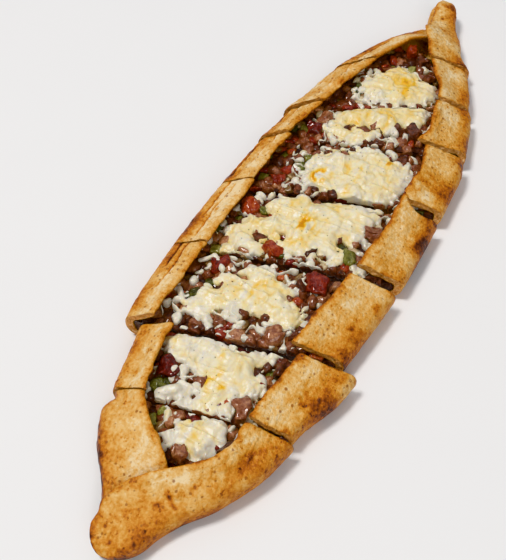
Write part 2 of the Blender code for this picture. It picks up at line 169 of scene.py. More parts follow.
@dataclass(frozen=True)
class Loaf:
    """The dough's shape before it is cut: (place along X, value) pairs, in millimetres."""

    near_tip: float = -228.0
    far_tip: float = 228.0
    half_width: Pairs = (
        (-230, 11.5), (-214, 13.5), (-200, 20.5), (-184, 33.5), (-158, 45.5), (-130, 51),
        (-100, 57), (-20, 62), (50, 59.5), (106, 51.3), (153, 34.3), (188, 15.5),
        (200, 10.5), (212, 9.5), (230, 9),
    )
    centre_line: Pairs = (
        (-230, 12), (-210, 9), (-184, 9), (-158, 8), (-100, 5.5), (0, 0.5), (75, -1.8),
        (153, -0.7), (188, -2), (212, 4.5), (230, 8),
    )
    left_flap: Pairs = (
        (-230, 10), (-214, 16), (-200, 26), (-184, 41), (-170, 32), (-154, 22),
        (-130, 16.5), (-60, 20), (50, 17), (106, 18.6), (176, 19), (200, 14), (230, 12),
    )
    right_flap: Pairs = (
        (-230, 25), (-214, 27), (-206, 31.5), (-200, 31), (-193, 30.5), (-184, 27),
        (-176, 20.5), (-168, 18.2), (-160, 18.2), (-150, 21.5), (-100, 26.5), (-30, 24.5),
        (75, 24), (130, 26), (176, 28), (200, 18), (230, 13),
    )
    lip_left: Pairs = (
        (-214, 6.2), (-206, 8), (-195, 12), (-184, 19), (-172, 24), (-150, 24.5),
        (160, 24.5), (172, 20.5), (182, 12), (192, 7.5), (202, 6.2),
    )
    fold_left: Pairs = (
        (-216, 6.4), (-206, 9.5), (-195, 14), (-180, 16.5), (170, 16.5), (186, 14.5),
        (198, 8), (206, 6.4),
    )
    fold_right: Pairs = (
        (-216, 11.5), (-195, 13), (-180, 14), (170, 14), (200, 12.5), (210, 11.5),
    )
    lip_right: Pairs = (
        (-216, 12.5), (-206, 15), (-195, 19.5), (-184, 24), (-170, 24.5), (160, 24.5),
        (176, 26), (188, 20), (200, 14.5), (210, 12.5),
    )
    tip_round: float = 14.0
    tip_least: float = 0.03
    tip_height: float = 6.0
    far_lift: float = 5.0
    far_lift_from: float = 188.0
    base_thick: float = 4.4
    flap_thick: float = 3.6
    lip_thick: float = 2.8
    lip_round: float = 0.022
    flap_dip: float = 1.3
    near_corner: float = -184.0
    far_corner: float = 174.0
    corner_run: float = 14.0
    base_shares: tuple[float, ...] = (0.5, 0.87)
    wall_shares: Pairs = ((0.99, 0.16), (1.01, 0.74))
    flap_shares: tuple[tuple[float, float, float], ...] = (
        (0.08, 0.1, 0.0), (0.38, 0.4, 1.0), (0.72, 0.76, 0.6), (1.0, 1.0, 0.0),
    )

    @property
    def spans(self) -> int:
        """Number of spans of the dough's middle line, from the left lip to the right."""
        return 2 * (len(self.base_shares) + len(self.wall_shares) + len(self.flap_shares))


@dataclass(frozen=True)
class Cut:
    """A slanting cut: its place on the centre line, and its gap at the left and right rim."""

    place: float
    slant: float
    gap_left: float
    gap_right: float
    rim: float = 60.0

    def face(self, side: int, y: np.ndarray) -> np.ndarray:
        """X of the nearer slice's face (side -1) or the farther one's (side 1) at y."""
        share = np.clip((y / self.rim + 1.0) / 2.0, 0.0, 1.0)
        gap = mix(self.gap_right, self.gap_left, share)
        return self.place - self.slant * y + side * gap / 2.0


@dataclass(frozen=True)
class Move:
    """How a slice has slid and turned, and how far its flaps and rim were pushed."""

    slide_x: float = 0.0
    slide_y: float = 0.0
    turn: float = 0.0
    left_near: float = 0.0
    left_far: float = 0.0
    right_near: float = 0.0
    right_far: float = 0.0
    press: float = 0.0
    ear: float = 0.0


CUTS = (
    Cut(-148.0, 0.18, 0.2, 1.4),
    Cut(-103.5, 0.24, 1.6, 2.0),
    Cut(-46.5, 0.25, 1.0, 6.0),
    Cut(9.5, 0.29, 0.8, 6.0),
    Cut(58.5, 0.39, 0.8, 3.0),
    Cut(97.5, 0.55, 0.8, 1.6),
    Cut(145.0, 0.56, 0.8, 1.6),
)
MOVES = (
    Move(slide_y=-8.5),
    Move(slide_y=-9.0, turn=-0.8, left_far=2.5, right_far=1.5, press=2.5),
    Move(),
    Move(left_far=1.5, right_far=-2.5, ear=6.0),
    Move(right_near=-1.0, right_far=1.0),
    Move(turn=0.5, left_near=-1.5, right_near=6.0, press=1.0),
    Move(left_near=1.0, left_far=1.0, right_near=-1.0),
    Move(turn=-0.5, right_near=2.0),
)
SLICES = len(MOVES)


@dataclass(frozen=True)
class Slice:
    """One slice of the loaf: its ends, its dough surfaces and its move."""

    number: int
    loaf: Loaf = field(default_factory=Loaf)

    @property
    def move(self) -> Move:
        """How this slice lies."""
        return MOVES[self.number - 1]

    def near_end(self, y: np.ndarray) -> np.ndarray:
        """X of the slice's nearer end at y."""
        if self.number == 1:
            return np.full_like(y, self.loaf.near_tip)
        return CUTS[self.number - 2].face(1, y)

    def far_end(self, y: np.ndarray) -> np.ndarray:
        """X of the slice's farther end at y."""
        if self.number == SLICES:
            return np.full_like(y, self.loaf.far_tip)
        return CUTS[self.number - 1].face(-1, y)

    def lip_wave(self, x: np.ndarray, side: int) -> np.ndarray:
        """Unevenness of a lip: long waves, short ones and a fine crumble, in millimetres."""
        seed = 11 * self.number + side
        return (
            0.8 * ripple(x, 15.0, seed)
            + 0.55 * ripple(x, 5.5, seed + 3)
            + 0.35 * ripple(x, 2.4, seed + 5)
            + 0.15 * ripple(x, 1.2, seed + 7)
        )

    def edges(self, x: np.ndarray, u: np.ndarray) -> tuple[np.ndarray, ...]:
        """Y of the left rim, left lip, right lip and right rim at x, u along the slice."""
        loaf, move = self.loaf, self.move
        centre, half = along(loaf.centre_line, x), along(loaf.half_width, x)
        left, right = centre + half, centre - half
        left_lip = left - along(loaf.left_flap, x) - mix(move.left_near, move.left_far, u)
        right_lip = right + along(loaf.right_flap, x) + mix(move.right_near, move.right_far, u)
        open_part = ease(loaf.near_corner - 6, loaf.near_corner + 10, x)
        open_part = open_part * ease(loaf.far_corner + 6, loaf.far_corner - 10, x)
        left_lip = left_lip - self.lip_wave(x, 1) * (0.3 + 0.7 * open_part)
        right_lip = right_lip + self.lip_wave(x, 2) * (0.3 + 0.5 * open_part)
        return left - move.press * (1.0 - u), left_lip, right_lip, right

    def heights(self, x: np.ndarray, u: np.ndarray) -> tuple[np.ndarray, ...]:
        """Heights of the left lip, left fold, right fold and right lip at x."""
        loaf = self.loaf
        lip_right = along(loaf.lip_right, x) + self.move.ear * ease(0.55, 1.0, u)
        return along(loaf.lip_left, x), along(loaf.fold_left, x), along(loaf.fold_right, x), lip_right

    def shaping_points(self, x: np.ndarray, u: np.ndarray) -> np.ndarray:
        """Points (y, z) that draw the dough's middle line, from the left lip to the right."""
        loaf = self.loaf
        left, left_lip, right_lip, right = self.edges(x, u)
        lip_left, fold_left, fold_right, lip_right = self.heights(x, u)
        centre = (left + right) / 2.0
        base = np.full_like(x, loaf.base_thick / 2.0)
        hollow = loaf.flap_dip * ease(loaf.near_corner, loaf.near_corner + loaf.corner_run, x)
        hollow = hollow * ease(loaf.far_corner, loaf.far_corner - loaf.corner_run, x)
        sides = []
        for rim, lip, fold, top in (
            (left - loaf.flap_thick / 2, left_lip, fold_left, lip_left),
            (right + loaf.flap_thick / 2, right_lip, fold_right, lip_right),
        ):
            points = [(mix(centre, rim, share), base) for share in loaf.base_shares]
            points += [
                (mix(centre, rim, out), mix(base, fold, up)) for out, up in loaf.wall_shares
            ]
            for share, up, dip in loaf.flap_shares:
                points.append((mix(rim, lip, share), mix(fold, top, up) - hollow * dip))
            sides.append(points)
        line = sides[0][::-1] + [(centre, base)] + sides[1]
        first = [2 * a - b for a, b in zip(line[0], line[1])]
        last = [2 * a - b for a, b in zip(line[-1], line[-2])]
        return np.array([first, *line, last])

    def skin(self, u: np.ndarray, x: np.ndarray, v: np.ndarray, side: int, inset: float) -> np.ndarray:
        """Y and z on the dough: a cubic B-spline middle line, moved out by half the thickness.

        The thickness falls off as a half ellipse at the lips, and the ring shrinks as a
        quarter ellipse at the noses.

        Args:
            u: share along the slice.
            x: place along the loaf.
            v: share round the dough, 0 at the left lip and 1 at the right one.
            side: 1 for the outside and -1 for the inside.
            inset: how far under the surface the point lies.

        Returns:
            Y and z, of shape (2, points).
        """
        loaf = self.loaf
        points = self.shaping_points(x, u)
        place = np.clip(v, 0.0, 1.0) * loaf.spans
        i = np.minimum(place.astype(int), loaf.spans - 1)
        t = place - i
        weights = ((1 - t) ** 3, 3 * t**3 - 6 * t**2 + 4, 3 * (t + t**2 - t**3) + 1, t**3)
        slopes = (-((1 - t) ** 2), 3 * t**2 - 4 * t, 1 + 2 * t - 3 * t**2, t**2)
        k = np.arange(len(x))
        near = [points[i + n, :, k].T for n in range(4)]
        middle = sum(w * p for w, p in zip(weights, near)) / 6.0
        run = sum(w * p for w, p in zip(slopes, near))
        out = np.array([-run[1], run[0]]) / np.hypot(*run)
        round_off = np.abs(2 * v - 1)
        thick = loaf.base_thick - (loaf.base_thick - loaf.flap_thick) * ease(0.5, 0.75, round_off)
        thick = thick - (loaf.flap_thick - loaf.lip_thick) * ease(0.9, 1.0, round_off)
        from_lip = np.minimum(np.minimum(v, 1 - v) / loaf.lip_round, 1.0)
        thick = thick * np.sqrt(1 - (1 - from_lip) ** 2)
        y, z = middle + out * side * (thick / 2 - inset)
        from_tip = np.minimum(x - loaf.near_tip, loaf.far_tip - x)
        scale = np.sqrt(np.clip(1 - (1 - np.minimum(from_tip / loaf.tip_round, 1)) ** 2, 0, 1))
        scale = np.maximum(scale, loaf.tip_least)
        centre = along(loaf.centre_line, x)
        lift = loaf.far_lift * ease(loaf.far_lift_from, loaf.far_tip, x)
        return np.array([
            centre + scale * (y - centre),
            loaf.tip_height + scale * (z - loaf.tip_height) + lift,
        ])

    def on_slice(self, u: np.ndarray, v: np.ndarray, side: int, inset: float = 0.0,
                 low: float = -1e3, high: float = 1e3) -> np.ndarray:
        """Points of the dough whose x lies a share u between the slice's slanted ends.

        Y depends on x and the ends' x on y, so the two are worked out in turn.
        """
        y = np.zeros_like(u)
        for _ in range(5):
            near = np.maximum(self.near_end(y), low)
            far = np.minimum(self.far_end(y), high)
            x = mix(near, far, u)
            y, z = self.skin(u, x, v, side, inset)
        return np.stack([x, y, z], axis=-1)

    def lay(self, points: np.ndarray) -> np.ndarray:
        """Move points of the uncut loaf to where this slice lies."""
        pivot = float(self.near_end(np.zeros(1))[0] + self.far_end(np.zeros(1))[0]) / 2.0
        turn = math.radians(self.move.turn)
        x, y = points[..., 0] - pivot, points[..., 1]
        return np.stack([
            x * math.cos(turn) - y * math.sin(turn) + pivot + self.move.slide_x,
            x * math.sin(turn) + y * math.cos(turn) + self.move.slide_y,
            points[..., 2],
        ], axis=-1)


# Meshes and materials.


def make_piece(name: str, points: np.ndarray, faces: list[np.ndarray], material: bpy.types.Material,
               values: dict[str, np.ndarray]) -> bpy.types.Object:
    """Put arrays into a smooth mesh object that rides on the part's one body.

    Args:
        name: the piece's name.
        points: vertices in millimetres, of shape (count, 3).
        faces: arrays of vertex numbers, each array with one number of corners.
        material: its finish.
        values: one float for each vertex, by attribute name.

    Returns:
        The object, at the origin.
    """
    mesh = bpy.data.meshes.new(name)
    corners = np.concatenate([group.ravel() for group in faces]).astype(np.int32)
    counts = np.concatenate([np.full(len(group), group.shape[1]) for group in faces])
    starts = np.concatenate([[0], np.cumsum(counts)[:-1]])
    mesh.vertices.add(len(points))
    mesh.vertices.foreach_set("co", (points * MM).astype(np.float32).ravel())
    mesh.loops.add(len(corners))
    mesh.loops.foreach_set("vertex_index", corners)
    mesh.polygons.add(len(counts))
    mesh.polygons.foreach_set("loop_start", starts.astype(np.int32))
    mesh.polygons.foreach_set("use_smooth", np.ones(len(counts), bool))
    for label, array in values.items():
        layer = mesh.attributes.new(label, "FLOAT", "POINT")
        layer.data.foreach_set("value", array.astype(np.float32).ravel())
    mesh.update(calc_edges=True)
    mesh.validate()
    mesh.materials.append(material)
    piece = bpy.data.objects.new(name, mesh)
    bpy.context.scene.collection.objects.link(piece)
    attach(piece, "root")
    LOG.info("%s: %d vertices, %d faces", name, len(points), len(counts))
    return piece


def srgb(code: str) -> tuple[float, float, float, float]:
    """Linear colour of a hex code such as #D9A45A."""
    parts = np.array([int(code[i:i + 2], 16) for i in (1, 3, 5)]) / 255.0
    linear = np.where(parts <= 0.04045, parts / 12.92, ((parts + 0.055) / 1.055) ** 2.4)
    return (*linear.tolist(), 1.0)


def add(tree: bpy.types.NodeTree, kind: str, inputs: dict | None = None,
        stops: Pairs = (), **settings: object) -> bpy.types.Node:
    """Add a node with its settings, its inputs' values or links, and a ramp's stops.

    Args:
        tree: the material's nodes.
        kind: the node's type, without its ShaderNode prefix.
        inputs: socket name or number to a value, or to the output that feeds it.
        stops: (place, hex colour) pairs of a colour ramp.
        settings: properties of the node.

    Returns:
        The new node.
    """
    node = tree.nodes.new(f"ShaderNode{kind}")
    for label, value in settings.items():
        setattr(node, label, value)
    for label, value in (inputs or {}).items():
        if isinstance(value, bpy.types.NodeSocket):
            tree.links.new(value, node.inputs[label])
        else:
            node.inputs[label].default_value = value
    for n, (place, code) in enumerate(stops):
        ramp = node.color_ramp.elements
        stop = ramp[n] if n < 2 else ramp.new(place)
        stop.position = place
        stop.color = srgb(code)
    return node


def per_metre(size: float) -> float:
    """Scale of a texture whose cells are that many millimetres."""
    return 1.0 / (size * MM)


def new_material(name: str) -> tuple[bpy.types.Material, bpy.types.NodeTree, bpy.types.Node]:
    """A material, its nodes and its Principled shader."""
    material = bpy.data.materials.new(name)
    material.use_nodes = True
    tree = material.node_tree
    return material, tree, tree.nodes["Principled BSDF"]


@dataclass(frozen=True)
class BakedDough:
    """Oven-baked wheat dough: a matt floured skin that browns where it stands proud.

    The eye gets a soft cream to golden mottle, dark pin-prick specks and a faint oily sheen.
    """

    name: str = "baked_wheat_dough"
    browning_and_shade: Pairs = (
        (0.0, "#F0D6A8"), (0.2, "#E6BB76"), (0.4, "#DA9E4A"), (0.56, "#CC8128"),
        (0.7, "#B26212"), (0.84, "#86420D"), (1.0, "#4A1F08"),
    )
    mottle: float = 8.0
    freckle: float = 1.9
    scorch: float = 2.4
    speck: float = 3.0
    pore: float = 0.9

    def build(self) -> bpy.types.Material:
        """Make the material. It reads the attributes bake and crumb."""
        material, tree, shader = new_material(self.name)
        spot = add(tree, "TexCoord").outputs["Object"]
        bake = add(tree, "Attribute", attribute_name="bake").outputs["Fac"]
        crumb = add(tree, "Attribute", attribute_name="crumb").outputs["Fac"]
        wide = add(tree, "TexNoise", {"Vector": spot, "Scale": per_metre(self.mottle),
                                      "Detail": 4.0, "Roughness": 0.6})
        small = add(tree, "TexNoise", {"Vector": spot, "Scale": per_metre(self.freckle),
                                       "Detail": 3.0, "Roughness": 0.6})
        first = add(tree, "Math", {0: wide.outputs["Fac"], 1: 0.65, 2: bake},
                    operation="MULTIPLY_ADD")
        second = add(tree, "Math", {0: small.outputs["Fac"], 1: 0.85, 2: first.outputs[0]},
                     operation="MULTIPLY_ADD")
        level = add(tree, "Math", {0: second.outputs[0], 1: 0.71}, operation="SUBTRACT")
        scorched = add(tree, "TexNoise", {"Vector": spot, "Scale": per_metre(self.scorch),
                                          "Detail": 5.0, "Roughness": 0.7})
        crisp = add(tree, "MapRange", {"Value": scorched.outputs["Fac"], "From Min": 0.57,
                                       "From Max": 0.66})
        where = add(tree, "MapRange", {"Value": wide.outputs["Fac"], "From Min": 0.42,
                                       "From Max": 0.58})
        patch = add(tree, "Math", {0: crisp.outputs[0], 1: where.outputs[0]},
                    operation="MULTIPLY")
        level = add(tree, "Math", {0: patch.outputs[0], 1: 0.36, 2: level.outputs[0]},
                    operation="MULTIPLY_ADD")
        crust = add(tree, "ValToRGB", {"Fac": level.outputs[0]}, stops=self.browning_and_shade)
        pores = add(tree, "TexNoise", {"Vector": spot, "Scale": per_metre(self.pore),
                                       "Detail": 3.0})
        dots = add(tree, "TexVoronoi", {"Vector": spot, "Scale": per_metre(self.speck)})
        pick = add(tree, "SeparateColor", {"Color": dots.outputs["Color"]})
        away = add(tree, "Math", {0: pick.outputs["Green"], 1: 0.16,
                                  2: dots.outputs["Distance"]}, operation="MULTIPLY_ADD")
        away = add(tree, "Math", {0: pores.outputs["Fac"], 1: 0.3, 2: away.outputs[0]},
                   operation="MULTIPLY_ADD")
        near = add(tree, "MapRange", {"Value": away.outputs[0], "From Min": 0.5,
                                      "From Max": 0.36})
        odds = add(tree, "Math", {0: wide.outputs["Fac"], 1: 1.2, 2: pick.outputs["Red"]},
                   operation="MULTIPLY_ADD")
        some = add(tree, "Math", {0: odds.outputs[0], 1: 1.12}, operation="GREATER_THAN")
        dot = add(tree, "Math", {0: near.outputs[0], 1: some.outputs[0]}, operation="MULTIPLY")
        dot = add(tree, "Math", {0: dot.outputs[0], 1: 0.75}, operation="MULTIPLY")
        speckled = add(tree, "Mix", {"Factor": dot.outputs[0], 6: crust.outputs["Color"],
                                     7: srgb("#94501A")}, data_type="RGBA")
        inner = add(tree, "ValToRGB", {"Fac": small.outputs["Fac"]},
                    stops=((0.3, "#C07A3A"), (0.52, "#E0A766"), (0.72, "#F2CE98")))
        colour = add(tree, "Mix", {"Factor": crumb, 6: speckled.outputs[2],
                                   7: inner.outputs["Color"]}, data_type="RGBA")
        tree.links.new(colour.outputs[2], shader.inputs["Base Color"])
        rough = add(tree, "MapRange", {"Value": level.outputs[0], "From Min": 0.2,
                                       "From Max": 0.9, "To Min": 0.62, "To Max": 0.42})
        tree.links.new(rough.outputs[0], shader.inputs["Roughness"])
        height = add(tree, "Math", {0: small.outputs["Fac"], 1: 1.8, 2: pores.outputs["Fac"]},
                     operation="MULTIPLY_ADD")
        bump = add(tree, "Bump", {"Height": height.outputs[0], "Strength": 0.8,
                                  "Distance": 0.7 * MM})
        tree.links.new(bump.outputs[0], shader.inputs["Normal"])
        return material


@dataclass(frozen=True)
class MoistDice:
    """Cooked, diced filling: soft wet lumps under a thin film of oil and juice.

    The eye gets a tint that differs from dice to dice and in patches, painted shade in the
    bump's hollows and small highlights.
    """

    name: str
    tints: Pairs
    roughness: float = 0.34
    coat: float = 0.35
    blotch: float = 2.5
    grain: float = 0.8

    def build(self) -> bpy.types.Material:
        """Make the material. It reads the attribute tint."""
        material, tree, shader = new_material(self.name)
        spot = add(tree, "TexCoord").outputs["Object"]
        tint = add(tree, "Attribute", attribute_name="tint").outputs["Fac"]
        blotches_and_hollow_shade = add(tree, "TexNoise", {"Vector": spot, "Scale": per_metre(self.blotch),
                                          "Detail": 4.0, "Roughness": 0.65})
        # Painted shade, in part: the same blotches raise the bump below, so the tint darkens in the bump's
        # hollows as well as varying in patches.
        level = add(tree, "Math", {0: blotches_and_hollow_shade.outputs["Fac"], 1: 1.8, 2: tint},
                    operation="MULTIPLY_ADD")
        level = add(tree, "Math", {0: level.outputs[0], 1: 0.92}, operation="SUBTRACT")
        colour = add(tree, "ValToRGB", {"Fac": level.outputs[0]}, stops=self.tints)
        tree.links.new(colour.outputs["Color"], shader.inputs["Base Color"])
        shader.inputs["Roughness"].default_value = self.roughness
        shader.inputs["Coat Weight"].default_value = self.coat
        shader.inputs["Coat Roughness"].default_value = 0.09
        grains = add(tree, "TexNoise", {"Vector": spot, "Scale": per_metre(self.grain),
                                        "Detail": 3.0})
        height = add(tree, "Math", {0: blotches_and_hollow_shade.outputs["Fac"], 1: 3.0,
                                    2: grains.outputs["Fac"]}, operation="MULTIPLY_ADD")
        bump = add(tree, "Bump", {"Height": height.outputs[0], "Strength": 0.9,
                                  "Distance": 0.6 * MM})
        tree.links.new(bump.outputs[0], shader.inputs["Normal"])
        return material


@dataclass(frozen=True)
class MeltedCheese:
    """Melted white cheese: smooth, fatty and a little translucent, with yellow butterfat.

    The eye gets ivory lumps with soft highlights, yellow pools and a few herb specks.
    """

    name: str = "melted_white_cheese"
    roughness: float = 0.34
    pool: float = 11.0
    cloud: float = 2.4
    fleck: float = 2.8

    def build(self) -> bpy.types.Material:
        """Make the material. It reads the attribute butter."""
        material, tree, shader = new_material(self.name)
        spot = add(tree, "TexCoord").outputs["Object"]
        butter_and_shade = add(tree, "Attribute", attribute_name="butter_and_shade").outputs["Fac"]
        pools = add(tree, "TexNoise", {"Vector": spot, "Scale": per_metre(self.pool),
                                       "Detail": 3.0, "Roughness": 0.55})
        clouds = add(tree, "TexNoise", {"Vector": spot, "Scale": per_metre(self.cloud),
                                        "Detail": 4.0})
        level = add(tree, "Math", {0: pools.outputs["Fac"], 1: 0.55, 2: butter_and_shade},
                    operation="MULTIPLY_ADD")
        level = add(tree, "Math", {0: clouds.outputs["Fac"], 1: 0.25, 2: level.outputs[0]},
                    operation="MULTIPLY_ADD")
        level = add(tree, "Math", {0: level.outputs[0], 1: 0.12}, operation="SUBTRACT")
        base = add(tree, "ValToRGB", {"Fac": level.outputs[0]}, stops=(
            (0.0, "#DFD9C9"), (0.2, "#E9DDB8"), (0.4, "#EAD496"), (0.6, "#ECC45C"),
            (0.78, "#EEB71A"), (1.0, "#D08C10")))
        dots = add(tree, "TexVoronoi", {"Vector": spot, "Scale": per_metre(self.fleck)})
        near = add(tree, "MapRange", {"Value": dots.outputs["Distance"], "From Min": 0.2,
                                      "From Max": 0.1})
        pick = add(tree, "SeparateColor", {"Color": dots.outputs["Color"]})
        some = add(tree, "Math", {0: pick.outputs["Green"], 1: 0.72}, operation="GREATER_THAN")
        dot = add(tree, "Math", {0: near.outputs[0], 1: some.outputs[0]}, operation="MULTIPLY")
        dot = add(tree, "Math", {0: dot.outputs[0], 1: 0.7}, operation="MULTIPLY")
        colour = add(tree, "Mix", {"Factor": dot.outputs[0], 6: base.outputs["Color"],
                                   7: srgb("#6E6636")}, data_type="RGBA")
        tree.links.new(colour.outputs[2], shader.inputs["Base Color"])
        shader.inputs["Roughness"].default_value = self.roughness
        shader.inputs["Subsurface Weight"].default_value = 0.4
        shader.inputs["Subsurface Radius"].default_value = (1.0, 0.75, 0.4)
        shader.inputs["Subsurface Scale"].default_value = 2.4 * MM
        shader.inputs["Coat Weight"].default_value = 0.4
        shader.inputs["Coat Roughness"].default_value = 0.14
        bump = add(tree, "Bump", {"Height": clouds.outputs["Fac"], "Strength": 0.55,
                                  "Distance": 0.9 * MM})
        tree.links.new(bump.outputs[0], shader.inputs["Normal"])
        return material


# The pieces.


@dataclass(frozen=True)
class Mark:
    """A local feature of a flap, placed on the uncut loaf.

    Height swells the skin, lift raises the whole flap, push moves it along Y and pull along
    X, all in millimetres; bake browns it.
    """

    x: float
    y: float
    reach_x: float
    reach_y: float
    height: float = 0.0
    bake: float = 0.0
    turn: float = 0.0
    lift: float = 0.0
    push: float = 0.0
    pull: float = 0.0

    def strength(self, points: np.ndarray) -> np.ndarray:
        """1 at the mark's middle, falling off as a turned bell."""
        turn = math.radians(self.turn)
        dx, dy = points[..., 0] - self.x, points[..., 1] - self.y
        along_it = dx * math.cos(turn) + dy * math.sin(turn)
        across = dy * math.cos(turn) - dx * math.sin(turn)
        return np.exp(-((along_it / self.reach_x) ** 2) - (across / self.reach_y) ** 2)


@dataclass(frozen=True)
class Crease:
    """A fine cracked line in the left flap, from one x to another, beside a pale ridge.

    Share is its place from the lip (0) to the fold (1). The crack is painted darker as
    shade and the ridge paler as a highlight.
    """

    start: float
    stop: float
    share: float
    depth: float = 0.8
    flap: float = 17.5
    width: float = 0.55

    def profile(self, points: np.ndarray, v: np.ndarray) -> tuple[np.ndarray, np.ndarray]:
        """How strongly the crack and its ridge show: bells of the distance across."""
        x = points[..., 0]
        wander = 0.07 * ripple(x, 13.0, int(abs(self.start))) + 0.02 * ripple(x, 3.0, 5)
        away = (v * 4.0 - self.share - wander) * self.flap
        there = ease(self.start, self.start + 5.0, x) * ease(self.stop, self.stop - 5.0, x)
        there = there * (v < 0.25)
        return there * bell(away, self.width), there * bell(away + 1.3, 0.9)


@dataclass
class DoughSlice:
    """The baked dough of one slice: base, walls and two folded flaps with worn cut faces."""

    shape: Slice
    finish: bpy.types.Material
    marks: tuple[Mark, ...] = ()
    creases: tuple[Crease, ...] = ()
    lip_brown: tuple[float, float] = (0.35, 1.0)
    spacing: float = 0.75
    around: int = 228
    lip_points: int = 7
    cap_rows: int = 7

    def grid(self) -> tuple[np.ndarray, np.ndarray]:
        """Shares along the slice, and round the dough from lip to lip."""
        shape, loaf = self.shape, self.shape.loaf
        at = np.zeros(1)
        length = float(shape.far_end(at)[0] - shape.near_end(at)[0])
        steps = np.linspace(0.0, 1.0, int(length / self.spacing))
        if shape.number == 1:
            steps = steps**1.35
        if shape.number == SLICES:
            steps = 1.0 - (1.0 - steps) ** 1.35
        turn_in = np.linspace(0.0, math.pi / 2, self.lip_points)
        lip = loaf.lip_round * (1.0 - np.cos(turn_in))
        body = np.linspace(loaf.lip_round, 1.0 - loaf.lip_round, self.around)[1:-1]
        return steps, np.concatenate([lip, body, 1.0 - lip[::-1]])

    def relief(self, points: np.ndarray, v: np.ndarray, outside: bool) -> np.ndarray:
        """Height of the baked surface over the plain one, in millimetres.

        Low swells, round blisters where the noise passes a threshold, and a fine grain.
        The base's underside stays flat.
        """
        seed = self.shape.number
        on_flap = ease(0.66, 0.8, np.abs(2 * v - 1))
        swell = 0.5 * noise(points, 13.0, seed)
        if not outside:
            return swell * on_flap
        drawn = points * (0.3, 1.0, 1.0) + 1.6 * noise(points, 9.0, seed + 15)[..., None]
        pleat = (1.0 - np.abs(noise(drawn, 5.5, seed + 10))) ** 7
        swell = swell + 0.75 * pleat * (0.5 + 0.5 * noise(points, 18.0, seed + 11))
        blister = np.maximum(noise(points, 6.5, seed + 20) - 0.3, 0.0)
        blister = blister * (0.5 + noise(points, 25.0, seed + 30))
        grain = 0.22 * noise(points, 2.6, seed + 40) + 0.09 * noise(points, 1.2, seed + 50)
        height = on_flap * (swell + 1.3 * np.maximum(blister, 0.0)) + grain * ease(0.3, 0.5, np.abs(2 * v - 1))
        for mark in self.marks:
            if mark.height:
                height = height + mark.height * mark.strength(points) * on_flap
        for crease in self.creases:
            crack, ridge = crease.profile(points, v)
            height = height + crease.depth * (0.6 * ridge - crack)
        return height

    def browning_and_shade(self, points: np.ndarray, u: np.ndarray, v: np.ndarray, outside: bool) -> np.ndarray:
        """How brown the dough is, from 0 to 1.

        Lips and folds brown most, the flaps' middles least, and the base is brown below.
        Slice 1's outer wall and the creases' cracks are also darkened as painted shade, and
        the ridges beside the cracks lightened as a painted highlight.
        """
        seed = self.shape.number
        share = np.minimum(v, 1.0 - v)
        right = v > 0.5
        patch = noise(points, 16.0, seed + 60)
        width = np.where(right, 24.5, 17.5)
        from_lip = share * 4.0 * width
        if not outside:
            return 0.32 + 0.1 * patch + 0.3 * bell(from_lip, 1.6)
        band = 1.9 + 1.5 * noise(points, 7.0, seed + 70)
        lip = bell(from_lip, np.maximum(band, 0.9))
        outer = ease(0.08, 0.19, share)
        if seed == 1:
            outer = np.where(right, 0.7 * ease(0.1, 0.26, share), 1.2 * ease(0.17, 0.25, share))
            outer = outer + 0.24 + 0.35 * ease(-204.0, -226.0, points[..., 0])
            patch = 0.3 * patch + 0.15
        edge = np.where(right, self.lip_brown[1], self.lip_brown[0])
        edge = edge * (0.18 * bell(from_lip, 0.9) + 0.32 * lip)
        pale = 0.12 * bell(from_lip - 4.0, 3.5) * ~right
        flap = 0.2 + edge - pale + (0.26 + 0.24 * patch) * outer + 0.18 * patch
        wall = ease(0.25, 0.33, share)
        low = ease(0.32, 0.385, share)
        # Slice 1's outer wall gets extra darkening (0.16 against 0.02): painted shade on the nose's lower
        # wall, on top of its browning.
        bake = flap + wall * (0.16 if seed == 1 else 0.02) + low * 0.28
        bake = bake + 0.1 * noise(points, 5.0, seed + 80) * (1.0 - low)
        x, y = points[..., 0], points[..., 1]
        cut = np.full_like(x, 99.0)
        if seed > 1:
            cut = x - self.shape.near_end(y)
        if seed < SLICES:
            cut = np.minimum(cut, self.shape.far_end(y) - x)
        ragged = 0.6 + 0.8 * noise(points, 4.0, seed + 95)
        bake = bake + np.where(right, 0.2, 0.08) * bell(cut, 1.6) * ragged * (1.0 - low)
        for mark in self.marks:
            broken = np.clip(0.75 + 0.9 * noise(points, 2.4, seed + 85), 0.0, 1.5)
            bake = bake + mark.bake * mark.strength(points) * broken * (share < 0.36)
        # Each crease's crack is darkened as painted shade, and the ridge beside it lightened as a painted
        # highlight.
        for crease in self.creases:
            crack, ridge = crease.profile(points, v)
            bake = bake + 0.4 * crack - 0.12 * ridge
        return bake

    def crumble(self, points: np.ndarray, v: np.ndarray, seed: int) -> np.ndarray:
        """Shift along X that makes a cut edge ragged: it only takes dough away.

        The left flap was cut cleanly, the right one tore.
        """
        near = ease(6.0, 0.0, points[..., 0] - self.shape.near_end(points[..., 1]))
        far = ease(6.0, 0.0, self.shape.far_end(points[..., 1]) - points[..., 0])
        near = near * (self.shape.number != 1)
        far = far * (self.shape.number != SLICES)
        rough = 0.5 * (1 + noise(points, 4.0, seed)) + 0.3 * (1 + noise(points, 1.6, seed + 1))
        wide = 0.6 * (1 + noise(points, 7.0, seed + 2))
        torn = mix(0.15, 1.0, ease(0.3, 0.6, v))
        return torn * (0.8 * rough + wide) * (near - far)

